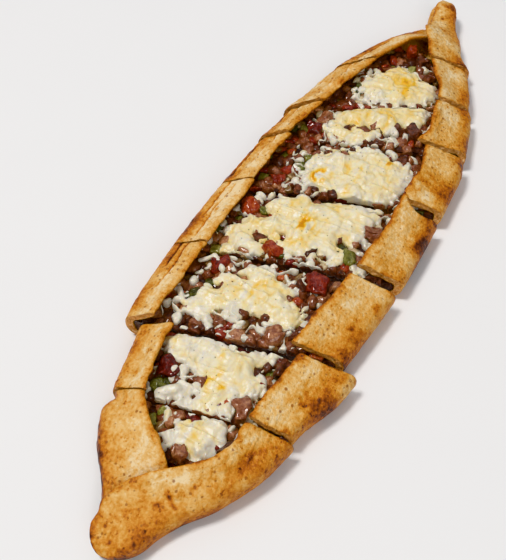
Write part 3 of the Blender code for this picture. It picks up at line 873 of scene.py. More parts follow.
    def surface(self) -> tuple[np.ndarray, np.ndarray, np.ndarray]:
        """Both skins as one ring of points at each station, their browning, and v's count.

        A point is the plain loaf's point moved along the ring surface's normal, which is
        the cross product of its two directions, by the relief.
        """
        steps, v = self.grid()
        uu, vv = np.meshgrid(steps, v, indexing="ij")
        rings, bakes, reliefs = [], [], []
        for side in (1, -1):
            points = self.shape.on_slice(uu.ravel(), vv.ravel(), side).reshape(*uu.shape, 3)
            outside = side == 1
            reliefs.append(self.relief(points, vv, outside))
            bakes.append(self.browning_and_shade(points, uu, vv, outside))
            lift = 0.7 * noise(points * (1, 1, 0), 19.0, self.shape.number + 90)
            move = np.zeros_like(points)
            for mark in self.marks:
                if mark.lift or mark.push or mark.pull:
                    shift = np.array([mark.pull, mark.push, mark.lift])
                    move += shift * mark.strength(points)[..., None]
            lift = lift + move[..., 2]
            points[..., :2] += move[..., :2]
            points[..., 2] += lift * ease(0.5, 0.75, np.abs(2 * vv - 1))
            points[..., 0] += self.crumble(points, vv, self.shape.number)
            rings.append(points)
        ring = np.concatenate([rings[0], rings[1][:, -2:0:-1]], axis=1)
        relief = np.concatenate([reliefs[0], reliefs[1][:, -2:0:-1]], axis=1)
        bake = np.concatenate([bakes[0], bakes[1][:, -2:0:-1]], axis=1)
        step_u = np.gradient(ring, axis=0)
        step_v = np.roll(ring, -1, axis=1) - np.roll(ring, 1, axis=1)
        normal = np.cross(step_u, step_v)
        normal /= np.maximum(np.linalg.norm(normal, axis=-1, keepdims=True), 1e-9)
        edge = np.minimum(uu, 1.0 - uu)[:, :1] * 60.0
        ring = ring + normal * (relief * np.clip(0.4 + edge, 0, 1))[..., None]
        ring[..., 2] = np.maximum(ring[..., 2], 0.02)
        return ring, bake, v

    def cap(self, ring: np.ndarray, index: np.ndarray, start: int, inward: float
            ) -> tuple[np.ndarray, list[np.ndarray]]:
        """Cut face between the outer and inner skin of a ring, pitted like torn crumb.

        Args:
            ring: the end ring's points.
            index: their numbers.
            start: number of the first new point.
            inward: +1 or -1, the way along X into the slice.

        Returns:
            New points and the faces.
        """
        count = (len(ring) + 2) // 2
        outer = ring[:count]
        inner = np.concatenate([ring[:1], ring[count:][::-1], ring[count - 1:count]])
        share = np.linspace(0.0, 1.0, self.cap_rows + 2)[1:-1]
        rows = mix(outer[1:-1, None], inner[1:-1, None], share[None, :, None])
        seed = self.shape.number + (5 if inward > 0 else 9)
        pits = np.maximum(noise(rows, 1.8, seed) + 0.1, 0) + 0.4 * noise(rows, 0.9, seed + 1)
        rows[..., 0] += inward * (0.1 + 1.0 * pits) * np.sin(np.pi * share) ** 0.5
        new = start + np.arange(rows.shape[0] * rows.shape[1]).reshape(rows.shape[:2])
        inner_index = np.concatenate([index[:1], index[count:][::-1], index[count - 1:count]])
        table = np.concatenate([index[1:count - 1, None], new, inner_index[1:-1, None]], axis=1)
        quads = np.stack([table[:-1, :-1], table[1:, :-1], table[1:, 1:], table[:-1, 1:]], -1)
        quads = quads.reshape(-1, 4)
        first, last = table[0], table[-1]
        tip, end = np.full(len(first) - 1, index[0]), np.full(len(last) - 1, index[count - 1])
        tris = np.concatenate([
            np.stack([tip, first[:-1], first[1:]], -1),
            np.stack([end, last[1:], last[:-1]], -1),
        ])
        if inward < 0:
            quads, tris = quads[:, ::-1], tris[:, ::-1]
        return rows.reshape(-1, 3), [quads, tris]

    def build(self) -> bpy.types.Object:
        """Make the slice's dough, closed, in place of its plain solid."""
        ring, bake, _ = self.surface()
        stations, count, _ = ring.shape
        index = np.arange(stations * count).reshape(stations, count)
        across = np.roll(index, -1, axis=1)
        walls = np.stack([index[:-1], index[1:], across[1:], across[:-1]], axis=-1).reshape(-1, 4)
        points, faces = [ring.reshape(-1, 3)], [walls]
        total = stations * count
        for row, inward in ((0, 1.0), (stations - 1, -1.0)):
            new, parts = self.cap(ring[row], index[row], total, inward)
            points.append(new)
            faces += parts
            total += len(new)
        caps = total - stations * count
        values = {
            "bake": np.concatenate([bake.ravel(), np.full(caps, 0.2)]),
            "crumb": np.concatenate([np.zeros(stations * count), np.ones(caps)]),
        }
        name = f"dough_slice_{self.shape.number}"
        piece = make_piece(name, self.shape.lay(np.concatenate(points)), faces, self.finish, values)
        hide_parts(f"dough_{self.shape.number}")
        return piece


def weld(grids: list[np.ndarray]) -> tuple[np.ndarray, np.ndarray]:
    """Join grids of points, of shape (rows, columns, 3), where their points coincide.

    Returns:
        The points and the grids' quads.
    """
    flat = np.concatenate([grid.reshape(-1, 3) for grid in grids])
    _, first, back = np.unique(np.round(flat, 3), axis=0, return_index=True, return_inverse=True)
    quads, start = [], 0
    for grid in grids:
        table = start + np.arange(grid.shape[0] * grid.shape[1]).reshape(grid.shape[:2])
        quads.append(np.stack(
            [table[:-1, :-1], table[1:, :-1], table[1:, 1:], table[:-1, 1:]], -1).reshape(-1, 4))
        start += table.size
    return flat[first], back.ravel()[np.concatenate(quads)]


@dataclass(frozen=True)
class Heap:
    """The filling's plain surface in one slice: it arches between the two flaps."""

    shape: Slice
    start: float = 0.165
    stop: float = 0.835
    lip: float = 0.02
    crown: float = 2.2
    near: float = -176.0
    far: float = 164.0
    taper: float = 14.0
    inset: float = 0.5
    nose_inset: float = 1.8

    @property
    def clearance(self) -> float:
        """How far the filling stays off the dough."""
        return self.nose_inset if self.shape.number in (1, SLICES) else self.inset

    def bank(self, x: np.ndarray, v: float) -> tuple[np.ndarray, np.ndarray]:
        """Y and z at x of the line where the filling's top meets the dough."""
        half = np.full_like(x, 0.5)
        y, z = self.shape.skin(half, x, np.full_like(x, v), -1, -self.clearance)
        return y, z

    def height(self, x: np.ndarray, y: np.ndarray) -> np.ndarray:
        """Height of the heap at a place: straight between its banks, plus a sine arch."""
        line = np.linspace(self.near, self.far, 240)
        left_y, left_z = self.bank(line, self.start - self.lip)
        right_y, right_z = self.bank(line, self.stop + self.lip)
        left_y, left_z = np.interp(x, line, left_y), np.interp(x, line, left_z)
        right_y, right_z = np.interp(x, line, right_y), np.interp(x, line, right_z)
        share = np.clip((left_y - y) / (left_y - right_y), 0.0, 1.0)
        arch = np.sin(math.pi * share) * ease(self.near, self.near + self.taper, x)
        arch = arch * ease(self.far, self.far - self.taper, x)
        return mix(left_z, right_z, share) + self.crown * arch

    def holds(self, x: np.ndarray, y: np.ndarray, clear: float) -> np.ndarray:
        """Whether a place lies on the heap, that far inside its banks and the cut faces."""
        left_y, _ = self.bank(x, self.start - self.lip)
        right_y, _ = self.bank(x, self.stop + self.lip)
        inside = (y < left_y - clear) & (y > right_y + clear)
        inside &= (x > self.near + clear) & (x < self.far - clear)
        return inside & (x > self.shape.near_end(y)) & (x < self.shape.far_end(y))


@dataclass
class FillingCore:
    """The smaller, sauce-bound heap under the loose dice of one slice."""

    shape: Slice
    finish: bpy.types.Material
    drop: float = 2.6
    stations: int = 64
    across: int = 110
    rows: int = 12

    def build(self) -> bpy.types.Object:
        """Make the core: a slab between the dough's inside and the heap's lowered top.

        All six sides are grids between the same corners, moved by noise of 5, 2.4 and 1.2 mm.
        """
        heap = Heap(self.shape)
        u, v = np.meshgrid(np.linspace(0, 1, self.stations),
                           np.linspace(heap.start, heap.stop, self.across), indexing="ij")
        lower = self.shape.on_slice(u.ravel(), v.ravel(), -1, -heap.clearance, heap.near,
                                    heap.far).reshape(*u.shape, 3)
        ends = lower[:, 0], lower[:, -1]
        share = np.linspace(0.0, 1.0, self.across)[None, :, None]
        upper = mix(ends[0][:, None], ends[1][:, None], share)
        plain = heap.height(upper[..., 0], upper[..., 1]) - self.drop
        edge = np.minimum(share[..., 0], 1.0 - share[..., 0])
        upper[..., 2] = mix(upper[..., 2], plain, ease(0.0, 0.04, edge))
        depth = np.linspace(0.0, 1.0, self.rows)[None, :, None]
        near = np.swapaxes(mix(upper[0][:, None], lower[0][:, None], depth), 0, 1)
        far = mix(upper[-1][:, None], lower[-1][:, None], depth)
        points, quads = weld([upper, lower[:, ::-1], near[:, ::-1][::-1], far])
        seed = self.shape.number + 100
        lumps = 0.9 * noise(points, 5.0, seed) + 0.5 * noise(points, 2.4, seed + 1)
        lumps = lumps + 0.2 * noise(points, 1.2, seed + 2)
        base = ease(4.0, 8.0, points[:, 2])
        points[:, 2] += lumps * base
        near_x = self.shape.near_end(points[:, 1])
        far_x = self.shape.far_end(points[:, 1])
        at_near = ease(1.5, 0.0, points[:, 0] - near_x)
        at_far = ease(1.5, 0.0, far_x - points[:, 0])
        points[:, 0] += 0.5 * (1 + lumps) * (at_near - at_far)
        name = f"filling_core_{self.shape.number}"
        tint = 0.35 + 0.3 * noise(points, 4.0, seed + 3)
        piece = make_piece(name, self.shape.lay(points), [quads], self.finish, {"tint": tint})
        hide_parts(f"filling_{self.shape.number}")
        return piece


class Kind(Enum):
    """The filling's diced ingredients."""

    MEAT = "meat"
    TOMATO = "tomato"
    PEPPER = "pepper"
    ONION = "onion"


@dataclass(frozen=True)
class Cutting:
    """How an ingredient is diced: its share of the mix, its sizes and its squareness."""

    share: float
    smallest: float
    largest: float
    flatness: float
    power: float


CUTTINGS = {
    Kind.MEAT: Cutting(0.68, 5.4, 10.0, 0.8, 5.0),
    Kind.TOMATO: Cutting(0.14, 5.0, 9.0, 0.7, 6.0),
    Kind.PEPPER: Cutting(0.07, 4.5, 8.5, 0.42, 7.0),
    Kind.ONION: Cutting(0.11, 4.0, 8.0, 0.4, 6.0),
}

# Larger pieces that show between the cheese: slice, centre, length, width, height, turn.
LARGE = {
    Kind.TOMATO: (
        (2, -135, 33, 11, 9, 8, 20), (3, -52, -20, 11, 10, 8, 30), (3, -62, 34, 10, 8, 7, -30),
        (4, -17, 38, 9, 9, 8, 15), (4, -41, 12, 9, 8, 8, 75), (5, 10, 34, 8, 8, 7, 45),
        (6, 59, 34, 9, 8, 8, 10), (8, 159, 7, 7, 6, 7, 35),
    ),
    Kind.MEAT: (
        (1, -171, 3, 8, 7, 6, 20), (1, -161, -17, 9, 7, 7, -20), (2, -138, -12, 11, 9, 8, 40),
        (2, -109, -19, 9, 8, 8, 10), (3, -91, -14, 12, 9, 8, -35), (4, -5, -32, 10, 9, 8, 15),
        (6, 71, 31, 10, 8, 8, -10), (6, 84, -22, 11, 8, 8, 40), (7, 138, -13, 8, 6, 7, -25),
        (8, 153, -3, 8, 7, 7, 50),
    ),
    Kind.PEPPER: (
        (2, -146, 30, 8, 6, 5, 70), (3, -88, 36, 10, 6, 5, -30), (4, -26, -28, 9, 6, 5, 25),
        (7, 107, 24, 8, 6, 5, 15),
    ),
    Kind.ONION: (),
}


@dataclass
class Dice:
    """All the loose dice of the filling, one joined piece for each ingredient."""

    slices: tuple[Slice, ...]
    finishes: dict[Kind, bpy.types.Material]
    cover: dict[int, "CheeseMelt"]
    seed: int = 4
    tries: int = 2600
    spacing: float = 0.68
    cells: int = 4
    large_cells: int = 9
    hidden: float = 3.0
    large_height: float = 16.0

    @staticmethod
    def cube(cells: int) -> tuple[np.ndarray, np.ndarray]:
        """A unit cube's surface as six welded grids of that many points a side."""
        line = np.linspace(-1.0, 1.0, cells)
        a, b = np.meshgrid(line, line, indexing="ij")
        one = np.ones_like(a)
        sides = []
        for axis in range(3):
            for sign in (1.0, -1.0):
                parts = [a, b] if sign > 0 else [b, a]
                sides.append(np.stack(np.roll([one * sign, *parts], axis, axis=0), axis=-1))
        return weld(sides)

    def scatter(self) -> tuple[dict[Kind, list[tuple]], dict[Kind, list[tuple]]]:
        """Choose each dice's kind, slice, place, size, turn and tint, without crowding.

        Returns:
            The rows of the small dice and of the large ones, by kind.
        """
        rng = np.random.default_rng(self.seed)
        kinds = list(CUTTINGS)
        shares = np.array([CUTTINGS[kind].share for kind in kinds])
        rows: dict[Kind, list[tuple]] = {kind: [] for kind in kinds}
        big: dict[Kind, list[tuple]] = {kind: [] for kind in kinds}
        for shape in self.slices:
            heap = Heap(shape)
            at = np.zeros(1)
            low = max(float(shape.near_end(at)[0]), heap.near) - 30.0
            high = min(float(shape.far_end(at)[0]), heap.far) + 30.0
            x = rng.uniform(low, high, self.tries)
            y = rng.uniform(-58.0, 58.0, self.tries)
            pick = rng.choice(len(kinds), self.tries, p=shares / shares.sum())
            size = rng.uniform(0.0, 1.0, self.tries) ** 1.3
            turns = rng.uniform(-1.0, 1.0, (self.tries, 3))
            tints = rng.uniform(0.0, 1.0, self.tries)
            lift = rng.uniform(-1.0, 1.0, self.tries)
            inside = heap.holds(x, y, 2.0)
            height = heap.height(x, y)
            if shape.number in self.cover:
                inside &= self.cover[shape.number].depth(x, y) < self.hidden
            taken = np.zeros((0, 4))
            large = []
            for kind, chunks in LARGE.items():
                for number, cx, cy, length, width, tall, turn in chunks:
                    if number == shape.number:
                        place = (cx, cy, self.large_height)
                        large.append((*place, 0.8 * length))
                        half = (length / 2.0, width / 2.0, tall / 2.0)
                        lean = (0.1, -0.08, math.radians(turn))
                        tint = 0.5 + 0.3 * math.sin(cx + cy)
                        big[kind].append((number, place, half, lean, tint))
            if large:
                taken = np.array(large)
            for n in np.flatnonzero(inside):
                kind = kinds[pick[n]]
                cut = CUTTINGS[kind]
                edge = cut.smallest + (cut.largest - cut.smallest) * size[n]
                z = height[n] - 0.45 * edge + 1.3 * lift[n]
                gap = np.linalg.norm(taken[:, :3] - (x[n], y[n], z), axis=1)
                if np.any(gap < self.spacing * (taken[:, 3] + edge) / 2.0):
                    continue
                taken = np.vstack([taken, (x[n], y[n], z, edge)])
                half = (edge / 2.0, edge * 0.43, edge * (0.5 * cut.flatness + 0.08 * turns[n, 2]))
                lean = (0.5 * turns[n, 0], 0.5 * turns[n, 1], math.pi * turns[n, 2])
                rows[kind].append((shape.number, (x[n], y[n], z), half, lean, tints[n]))
        return rows, big

    def shapes(self, kind: Kind, rows: list[tuple], cells: int
               ) -> tuple[np.ndarray, np.ndarray, np.ndarray]:
        """Points, quads and tints of every dice of a kind.

        A dice is a cube drawn in to a rounded one, p / |p|k with the k-norm, bulged by sines,
        scaled, turned about three axes, and cut off flat by its slice's end faces.
        """
        cube, quads = self.cube(cells)
        power = CUTTINGS[kind].power
        norm = (np.abs(cube) ** power).sum(axis=1, keepdims=True) ** (1.0 / power)
        unit = cube / norm
        count = len(rows)
        number = np.array([row[0] for row in rows])
        place = np.array([row[1] for row in rows])
        half = np.array([row[2] for row in rows])
        lean = np.array([row[3] for row in rows])
        tint = np.array([row[4] for row in rows])
        phase = place.sum(axis=1)[:, None] + np.arange(3)
        bulge = np.sin(2.1 * unit[None, :, [1, 2, 0]] + phase[:, None, :])
        bulge = bulge + 0.6 * np.sin(4.3 * unit[None, :, [2, 0, 1]] + 2.0 * phase[:, None, :])
        rough = np.stack([noise(unit[None] + place[:, None, :], 0.9, n) for n in range(3)], -1)
        fine = np.stack([noise(unit[None] + place[:, None, :], 0.4, n) for n in range(3)], -1)
        share = 0.3 if cells == self.cells else 0.42
        points = (unit[None] + 0.1 * bulge + share * rough + 0.12 * fine) * half[:, None, :]
        points[..., 0] *= 1.0 + 0.2 * unit[None, :, 2] * np.sin(phase[:, 1:2])
        for axis, (i, j) in enumerate(((1, 2), (2, 0), (0, 1))):
            c, s = np.cos(lean[:, axis])[:, None], np.sin(lean[:, axis])[:, None]
            a, b = points[..., i].copy(), points[..., j].copy()
            points[..., i], points[..., j] = a * c - b * s, a * s + b * c
        points = points + place[:, None, :]
        for shape in self.slices:
            mine = number == shape.number
            if mine.any():
                part = points[mine]
                low, high = shape.near_end(part[..., 1]), shape.far_end(part[..., 1])
                part[..., 0] = np.clip(part[..., 0], low + 0.1, high - 0.1)
                points[mine] = shape.lay(part)
        table = quads[None] + (np.arange(count) * len(unit))[:, None, None]
        tints = np.repeat(tint, len(unit)).reshape(count, -1)
        return points.reshape(-1, 3), table.reshape(-1, 4), tints.ravel()

    def build(self) -> list[bpy.types.Object]:
        """Make one piece of each ingredient, in place of its larger plain solids."""
        pieces = []
        small, big = self.scatter()
        for kind, rows in small.items():
            points, quads, tints = self.shapes(kind, rows, self.cells)
            if big[kind]:
                parts = self.shapes(kind, big[kind], self.large_cells)
                quads = np.concatenate([quads, parts[1] + len(points)])
                points = np.concatenate([points, parts[0]])
                tints = np.concatenate([tints, parts[2]])
            piece = make_piece(f"{kind.value}_dice", points, [quads], self.finishes[kind],
                               {"tint": tints})
            LOG.info("%s: %d dice", kind.value, len(rows))
            if LARGE[kind]:
                nodes = [f"{kind.value}_{n}" for n in range(1, len(LARGE[kind]) + 1)]
                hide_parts(*nodes)
            pieces.append(piece)
        return pieces


@dataclass(frozen=True)
class Blob:
    """A strand or lump of cheese between two places, given as (x, y, height over the heap)."""

    start: tuple[float, float, float]
    end: tuple[float, float, float]
    radius: float


@dataclass(frozen=True)
class Pool:
    """A yellow pool of butterfat on the cheese."""

    x: float
    y: float
    reach: float
    strength: float = 0.5


@dataclass
class CheeseMelt:
    """The cheese of one slice: thick round-edged sheets with lumps, strands and pools.

    Such a sheet has holes and strands, so it isn't a surface of two parameters. It is the
    zero surface of a distance worked out on a regular lattice of points.
    """

    shape: Slice
    outlines: tuple[tuple[Spot, ...], ...]
    nodes: tuple[str, ...]
    holes: tuple[tuple[float, float, float], ...] = ()
    blobs: tuple[Blob, ...] = ()
    pools: tuple[Pool, ...] = ()
    richness: float = 0.0
    step: float = 0.5
    rise: float = 2.4
    rim: float = 0.7
    sink: float = 3.5
    edge: float = 2.4
    reach: float = 12.0
    corner_points: int = 6

    def contour(self, outline: tuple[Spot, ...]) -> np.ndarray:
        """A closed smooth outline through the given spots: a Catmull-Rom spline."""
        spots = np.array(outline, float)
        t = np.linspace(0.0, 1.0, self.corner_points, endpoint=False)[:, None, None]
        a, b, c, d = (np.roll(spots, n, axis=0)[None] for n in (1, 0, -1, -2))
        curve = 0.5 * (2 * b + (c - a) * t + (2 * a - 5 * b + 4 * c - d) * t**2
                       + (3 * b - a - 3 * c + d) * t**3)
        return np.swapaxes(curve, 0, 1).reshape(-1, 2)

    def plain_depth(self, x: np.ndarray, y: np.ndarray) -> np.ndarray:
        """How far inside the cheese's outlines a place lies, in millimetres.

        The distance to the nearest edge of the contours, signed by counting crossings.
        """
        best = np.full(x.shape, -1e3)
        for outline in self.outlines:
            start = self.contour(outline)
            end = np.roll(start, -1, axis=0)
            span = end - start
            px, py = x[..., None] - start[:, 0], y[..., None] - start[:, 1]
            t = np.clip((px * span[:, 0] + py * span[:, 1]) / (span**2).sum(axis=1), 0, 1)
            gap = np.hypot(px - t * span[:, 0], py - t * span[:, 1]).min(axis=-1)
            above = (start[:, 1] > y[..., None]) != (end[:, 1] > y[..., None])
            rise = np.where(span[:, 1] == 0, 1e-9, span[:, 1])
            crossing = px < span[:, 0] * py / rise
            inside = (above & crossing).sum(axis=-1) % 2 == 1
            best = np.maximum(best, np.where(inside, gap, -gap))
        return best

    def depth(self, x: np.ndarray, y: np.ndarray) -> np.ndarray:
        """The plain depth with round lobes, holes, and a web of strings and scraps outside.

        A string runs where smooth noise is near 0, and a scrap lies where domes are high.
        """
        plain = self.plain_depth(x, y)
        points = np.stack([x, y, np.zeros_like(x)], axis=-1)
        seed = self.shape.number + 200
        lobes = 3.2 * (domes(points, 6.5, seed) - 0.5) + 3.0 * noise(points, 11.0, seed + 1)
        depth = plain + lobes + 0.8 * noise(points, 2.8, seed + 2)
        for hole_x, hole_y, radius in self.holes:
            hole = np.hypot(x - hole_x, y - hole_y) - radius + noise(points, 3.0, seed + 3)
            depth = np.minimum(depth, hole)
        bend = points + 2.5 * noise(points, 6.0, seed + 4)[..., None]
        near = 0.35 * (plain + self.reach + 3.0 * noise(points, 14.0, seed + 5))
        string = 0.95 - 11.0 * np.abs(noise(bend, 9.0, seed + 6))
        scrap = 9.0 * (domes(bend, 8.5, seed + 7) - 0.82)
        return np.maximum(depth, np.minimum(np.maximum(string, scrap), near))

    def lumps(self, points: np.ndarray) -> tuple[np.ndarray, np.ndarray]:
        """Large and small domes over the sheet, stretched and bent by smooth noise."""
        seed = self.shape.number + 200
        flat = points * (1.0, 1.0, 0.0)
        bent = flat + 3.2 * np.stack(
            [noise(flat, 9.0, seed + 8), noise(flat, 9.0, seed + 9), np.zeros(flat.shape[:-1])],
            axis=-1)
        return domes(bent, 7.4, seed), domes(bent, 3.4, seed + 5)

    def top(self, x: np.ndarray, y: np.ndarray, depth: np.ndarray) -> np.ndarray:
        """Height of the sheet's top: the heap, thicker inside, with lumps, folds and steps."""
        points = np.stack([x, y, np.zeros_like(x)], axis=-1)
        seed = self.shape.number + 210
        wide = noise(points, 10.0, seed + 1)
        large, small = self.lumps(points)
        lumps = 1.1 * (large - 0.6) * (0.8 + 0.8 * wide) + 1.3 * wide
        lumps = lumps + 0.25 * (small - 0.6)
        fold = 1.0 - np.abs(noise(points * (1.0, 0.55, 1.0), 7.0, seed + 2))
        steps = np.tanh(6.0 * noise(points, 8.0, seed + 3))
        fine = 0.3 * noise(points, 2.6, seed + 4) + 0.1 * noise(points, 1.5, seed + 6)
        thick = mix(self.rim, self.rise, ease(-1.0, 8.0, depth))
        top = Heap(self.shape).height(x, y) + thick
        return top + lumps + 1.0 * (fold**5 - 0.25) + 0.4 * steps + fine

    def build(self) -> bpy.types.Object:
        """Make the cheese: a slab with round edges, joined smoothly with lumps and strands."""
        spots = np.concatenate([self.contour(outline) for outline in self.outlines])
        ends = [p for blob in self.blobs for p in (blob.start[:2], blob.end[:2])]
        if ends:
            spots = np.concatenate([spots, np.array(ends)])
        low, high = spots.min(axis=0) - self.reach, spots.max(axis=0) + self.reach
        xs = np.arange(low[0], high[0], self.step)
        ys = np.arange(low[1], high[1], self.step)
        zs = np.arange(7.0, 26.0, self.step)
        x, y = np.meshgrid(xs, ys, indexing="ij")
        depth = self.depth(x, y)
        heap = Heap(self.shape).height(x, y)
        top = self.top(x, y, depth)[..., None]
        bottom = (heap - self.sink)[..., None]
        z = np.broadcast_to(zs, (*x.shape, len(zs)))
        above = z - top + self.edge
        beside = (self.edge - depth)[..., None]
        slab = np.hypot(np.maximum(above, 0), np.maximum(beside, 0))
        slab = slab + np.minimum(np.maximum(above, beside), 0) - self.edge
        slab = np.maximum(slab, bottom - z)
        points = np.stack(np.broadcast_arrays(x[..., None], y[..., None], z), axis=-1)
        for blob in self.blobs:
            a, b = (np.array(p, float) for p in (blob.start, blob.end))
            over = Heap(self.shape).height(np.array([a[0], b[0]]), np.array([a[1], b[1]]))
            a[2], b[2] = a[2] + over[0], b[2] + over[1]
            line = b - a
            t = np.clip(((points - a) @ line) / max(float(line @ line), 1e-6), 0, 1)
            gap = np.linalg.norm(points - a - t[..., None] * line, axis=-1) - blob.radius
            slab = self.join(slab, gap, 1.2)
        slab = slab + 0.3 * noise(points, 2.6, self.shape.number + 220)
        inside = Heap(self.shape).holds(x.ravel(), y.ravel(), 1.0).reshape(x.shape)
        slab = np.where(inside[..., None], slab, np.maximum(slab, 0.6))
        slab = np.maximum(slab, self.shape.near_end(y)[..., None] + 0.2 - x[..., None])
        slab = np.maximum(slab, x[..., None] - self.shape.far_end(y)[..., None] + 0.2)
        surface, quads = self.zero_surface(slab, (xs[0], ys[0], zs[0]))
        seed = self.shape.number + 230
        deep = self.plain_depth(surface[:, 0], surface[:, 1])
        butter_and_shade = self.richness + 0.16 * noise(surface, 13.0, seed) - 0.3 * ease(4.0, -3.0, deep)
        # Butterfat gathers in the hollows between the lumps and the tops stay paler; the hollows' deeper,
        # darker yellow is also painted shade.
        large, small = self.lumps(surface)
        butter_and_shade = butter_and_shade + 0.25 * (0.5 - large) + 0.2 * (0.5 - small)
        for pool in self.pools:
            away = np.hypot(surface[:, 0] - pool.x, surface[:, 1] - pool.y)
            streak = noise(surface * (0.6, 1.4, 1.0), 3.4, seed + 1)
            broken = np.clip(0.85 + 1.5 * streak, 0.0, 1.4)
            butter_and_shade = butter_and_shade + pool.strength * bell(away, pool.reach) * broken
        name = f"cheese_melt_{self.shape.number}"
        finish = bpy.data.materials[MeltedCheese.name]
        piece = make_piece(name, self.shape.lay(surface), [quads], finish, {"butter_and_shade": butter_and_shade})
        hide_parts(*self.nodes)
        return piece

    @staticmethod
    def join(a: np.ndarray, b: np.ndarray, reach: float) -> np.ndarray:
        """The smaller of two distances, blended where they differ by less than reach."""
        h = np.clip(0.5 + 0.5 * (b - a) / reach, 0.0, 1.0)
        return mix(b, a, h) - reach * h * (1.0 - h)

    def zero_surface(self, field_values: np.ndarray, origin: tuple[float, float, float]
                     ) -> tuple[np.ndarray, np.ndarray]:
        """Points and outward quads where a lattice of distances crosses zero."""
        volume = openvdb.FloatGrid(10.0)
        volume.copyFromArray(field_values.astype(np.float32))
        points, quads = volume.convertToQuads(isovalue=0.0)
        points = np.array(origin) + points * self.step
        a, b, c = (points[quads[:, n]] for n in range(3))
        if np.einsum("ij,ij->i", a, np.cross(b - a, c - a)).sum() < 0:
            quads = quads[:, ::-1]
        return points, quads.astype(np.int64)


